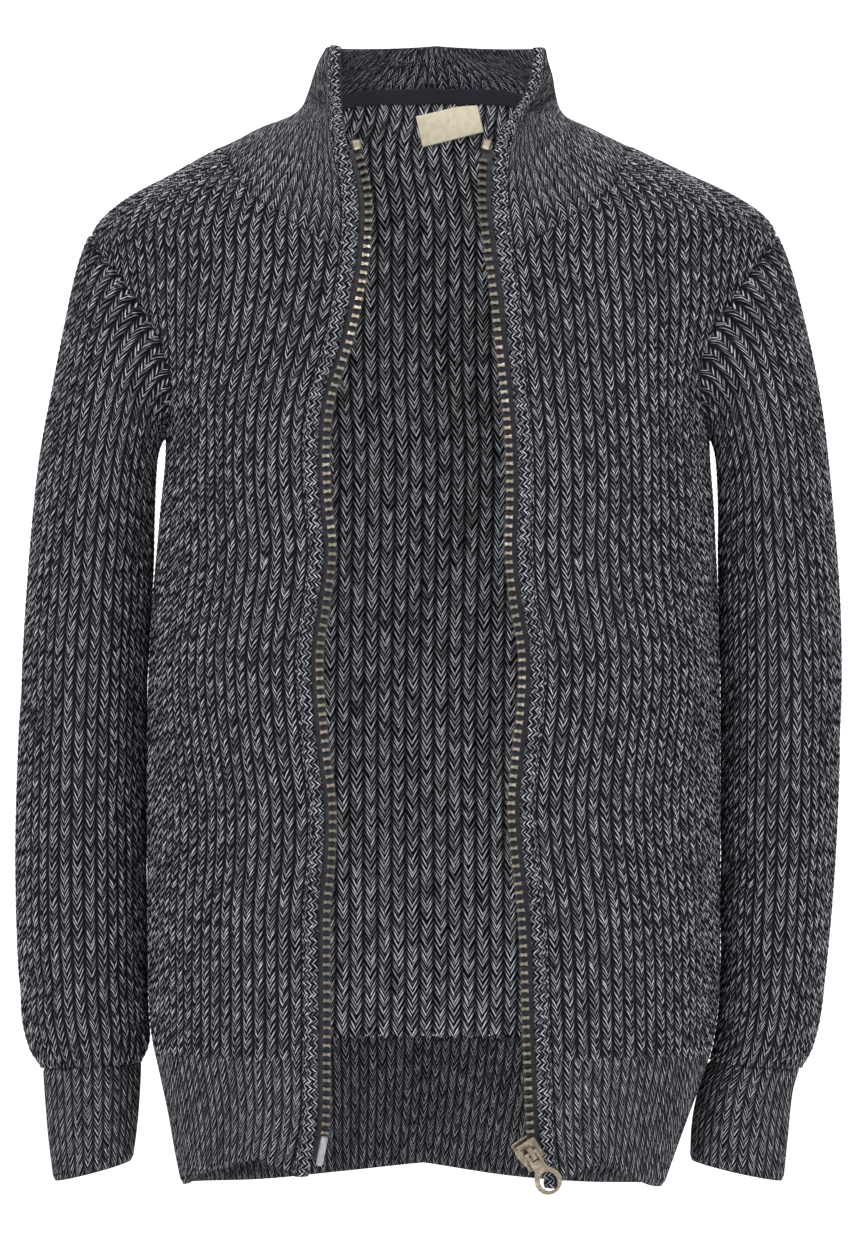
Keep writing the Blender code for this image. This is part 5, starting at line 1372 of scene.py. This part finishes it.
@dataclass
class Studio:
    """Plain pale floor and wall, soft light and the photograph's camera."""

    wardrobe: Wardrobe
    distance: float = 3.0
    centre: tuple = (-0.002, -0.1944)
    frame_height: float = 0.5008

    def area(self, name: str, place: tuple, target: tuple, size: float, power: float) -> None:
        """One soft light aimed at a point."""
        data = bpy.data.lights.new(name, "AREA")
        data.shape, data.size, data.energy = "DISK", size, power
        light = bpy.data.objects.new(name, data)
        light.location = place
        light.rotation_euler = (Vector(target) - Vector(place)).to_track_quat("-Z", "Y").to_euler()
        bpy.context.scene.collection.objects.link(light)

    def plane(self, name: str, centre: tuple, across: tuple, up: tuple) -> None:
        """One flat piece of the set."""
        centre, across, up = Vector(centre), Vector(across), Vector(up)
        mesh = bpy.data.meshes.new(name)
        corners = [centre - across - up, centre + across - up, centre + across + up, centre - across + up]
        mesh.from_pydata([tuple(c) for c in corners], [], [(0, 1, 2, 3)])
        mesh.materials.append(self.wardrobe["backdrop"])
        made = bpy.data.objects.new(name, mesh)
        bpy.context.scene.collection.objects.link(made)

    def build(self) -> None:
        """Builds the set, lights, world and camera."""
        self.plane("floor", (0, 0, -0.9), (6, 0, 0), (0, 6, 0))
        self.plane("backdrop_wall", (0, 2.2, 1.0), (6, 0, 0), (0, 0, 3))
        self.area("key", (-0.9, -2.4, 1.0), (0, 0, -0.2), 0.9, 38.0)
        self.area("front", (0.25, -2.9, 0.1), (0, 0, -0.2), 0.8, 30.0)
        self.area("fill", (1.8, -2.0, 0.4), (0, 0, -0.2), 1.4, 16.0)
        self.area("top", (0.2, 0.4, 1.9), (0, 0, -0.1), 1.2, 14.0)
        self.area("wall_wash", (0.0, 1.0, 2.4), (0, 2.2, -0.4), 3.0, 60.0)
        world = bpy.data.worlds.new("studio")
        world.use_nodes = True
        world.node_tree.nodes["Background"].inputs[0].default_value = (1.0, 1.0, 1.0, 1.0)
        world.node_tree.nodes["Background"].inputs[1].default_value = 0.75
        bpy.context.scene.world = world
        bpy.context.scene.view_settings.view_transform = "Standard"
        data = bpy.data.cameras.new("photo_camera")
        data.sensor_width = 36.0
        data.lens = 36.0 * self.distance / self.frame_height
        data.clip_start, data.clip_end = 0.05, 30.0
        camera = bpy.data.objects.new("photo_camera", data)
        camera.location = (self.centre[0], -self.distance, self.centre[1])
        camera.rotation_euler = (math.radians(90.0), 0.0, 0.0)
        bpy.context.scene.collection.objects.link(camera)
        bpy.context.scene.camera = camera


def main() -> None:
    """Builds every piece in order."""
    logging.basicConfig(level=logging.INFO, format="%(message)s", stream=sys.stdout)
    wardrobe = Wardrobe()
    Body(wardrobe).build()
    Sleeves(wardrobe).build()
    Ribs(wardrobe).build()
    for side in Side:
        Opening(wardrobe, side).build()
    Hardware(wardrobe).build()
    NeckTrim(wardrobe).build()
    Studio(wardrobe).build()


if __name__ == "__main__":
    main()
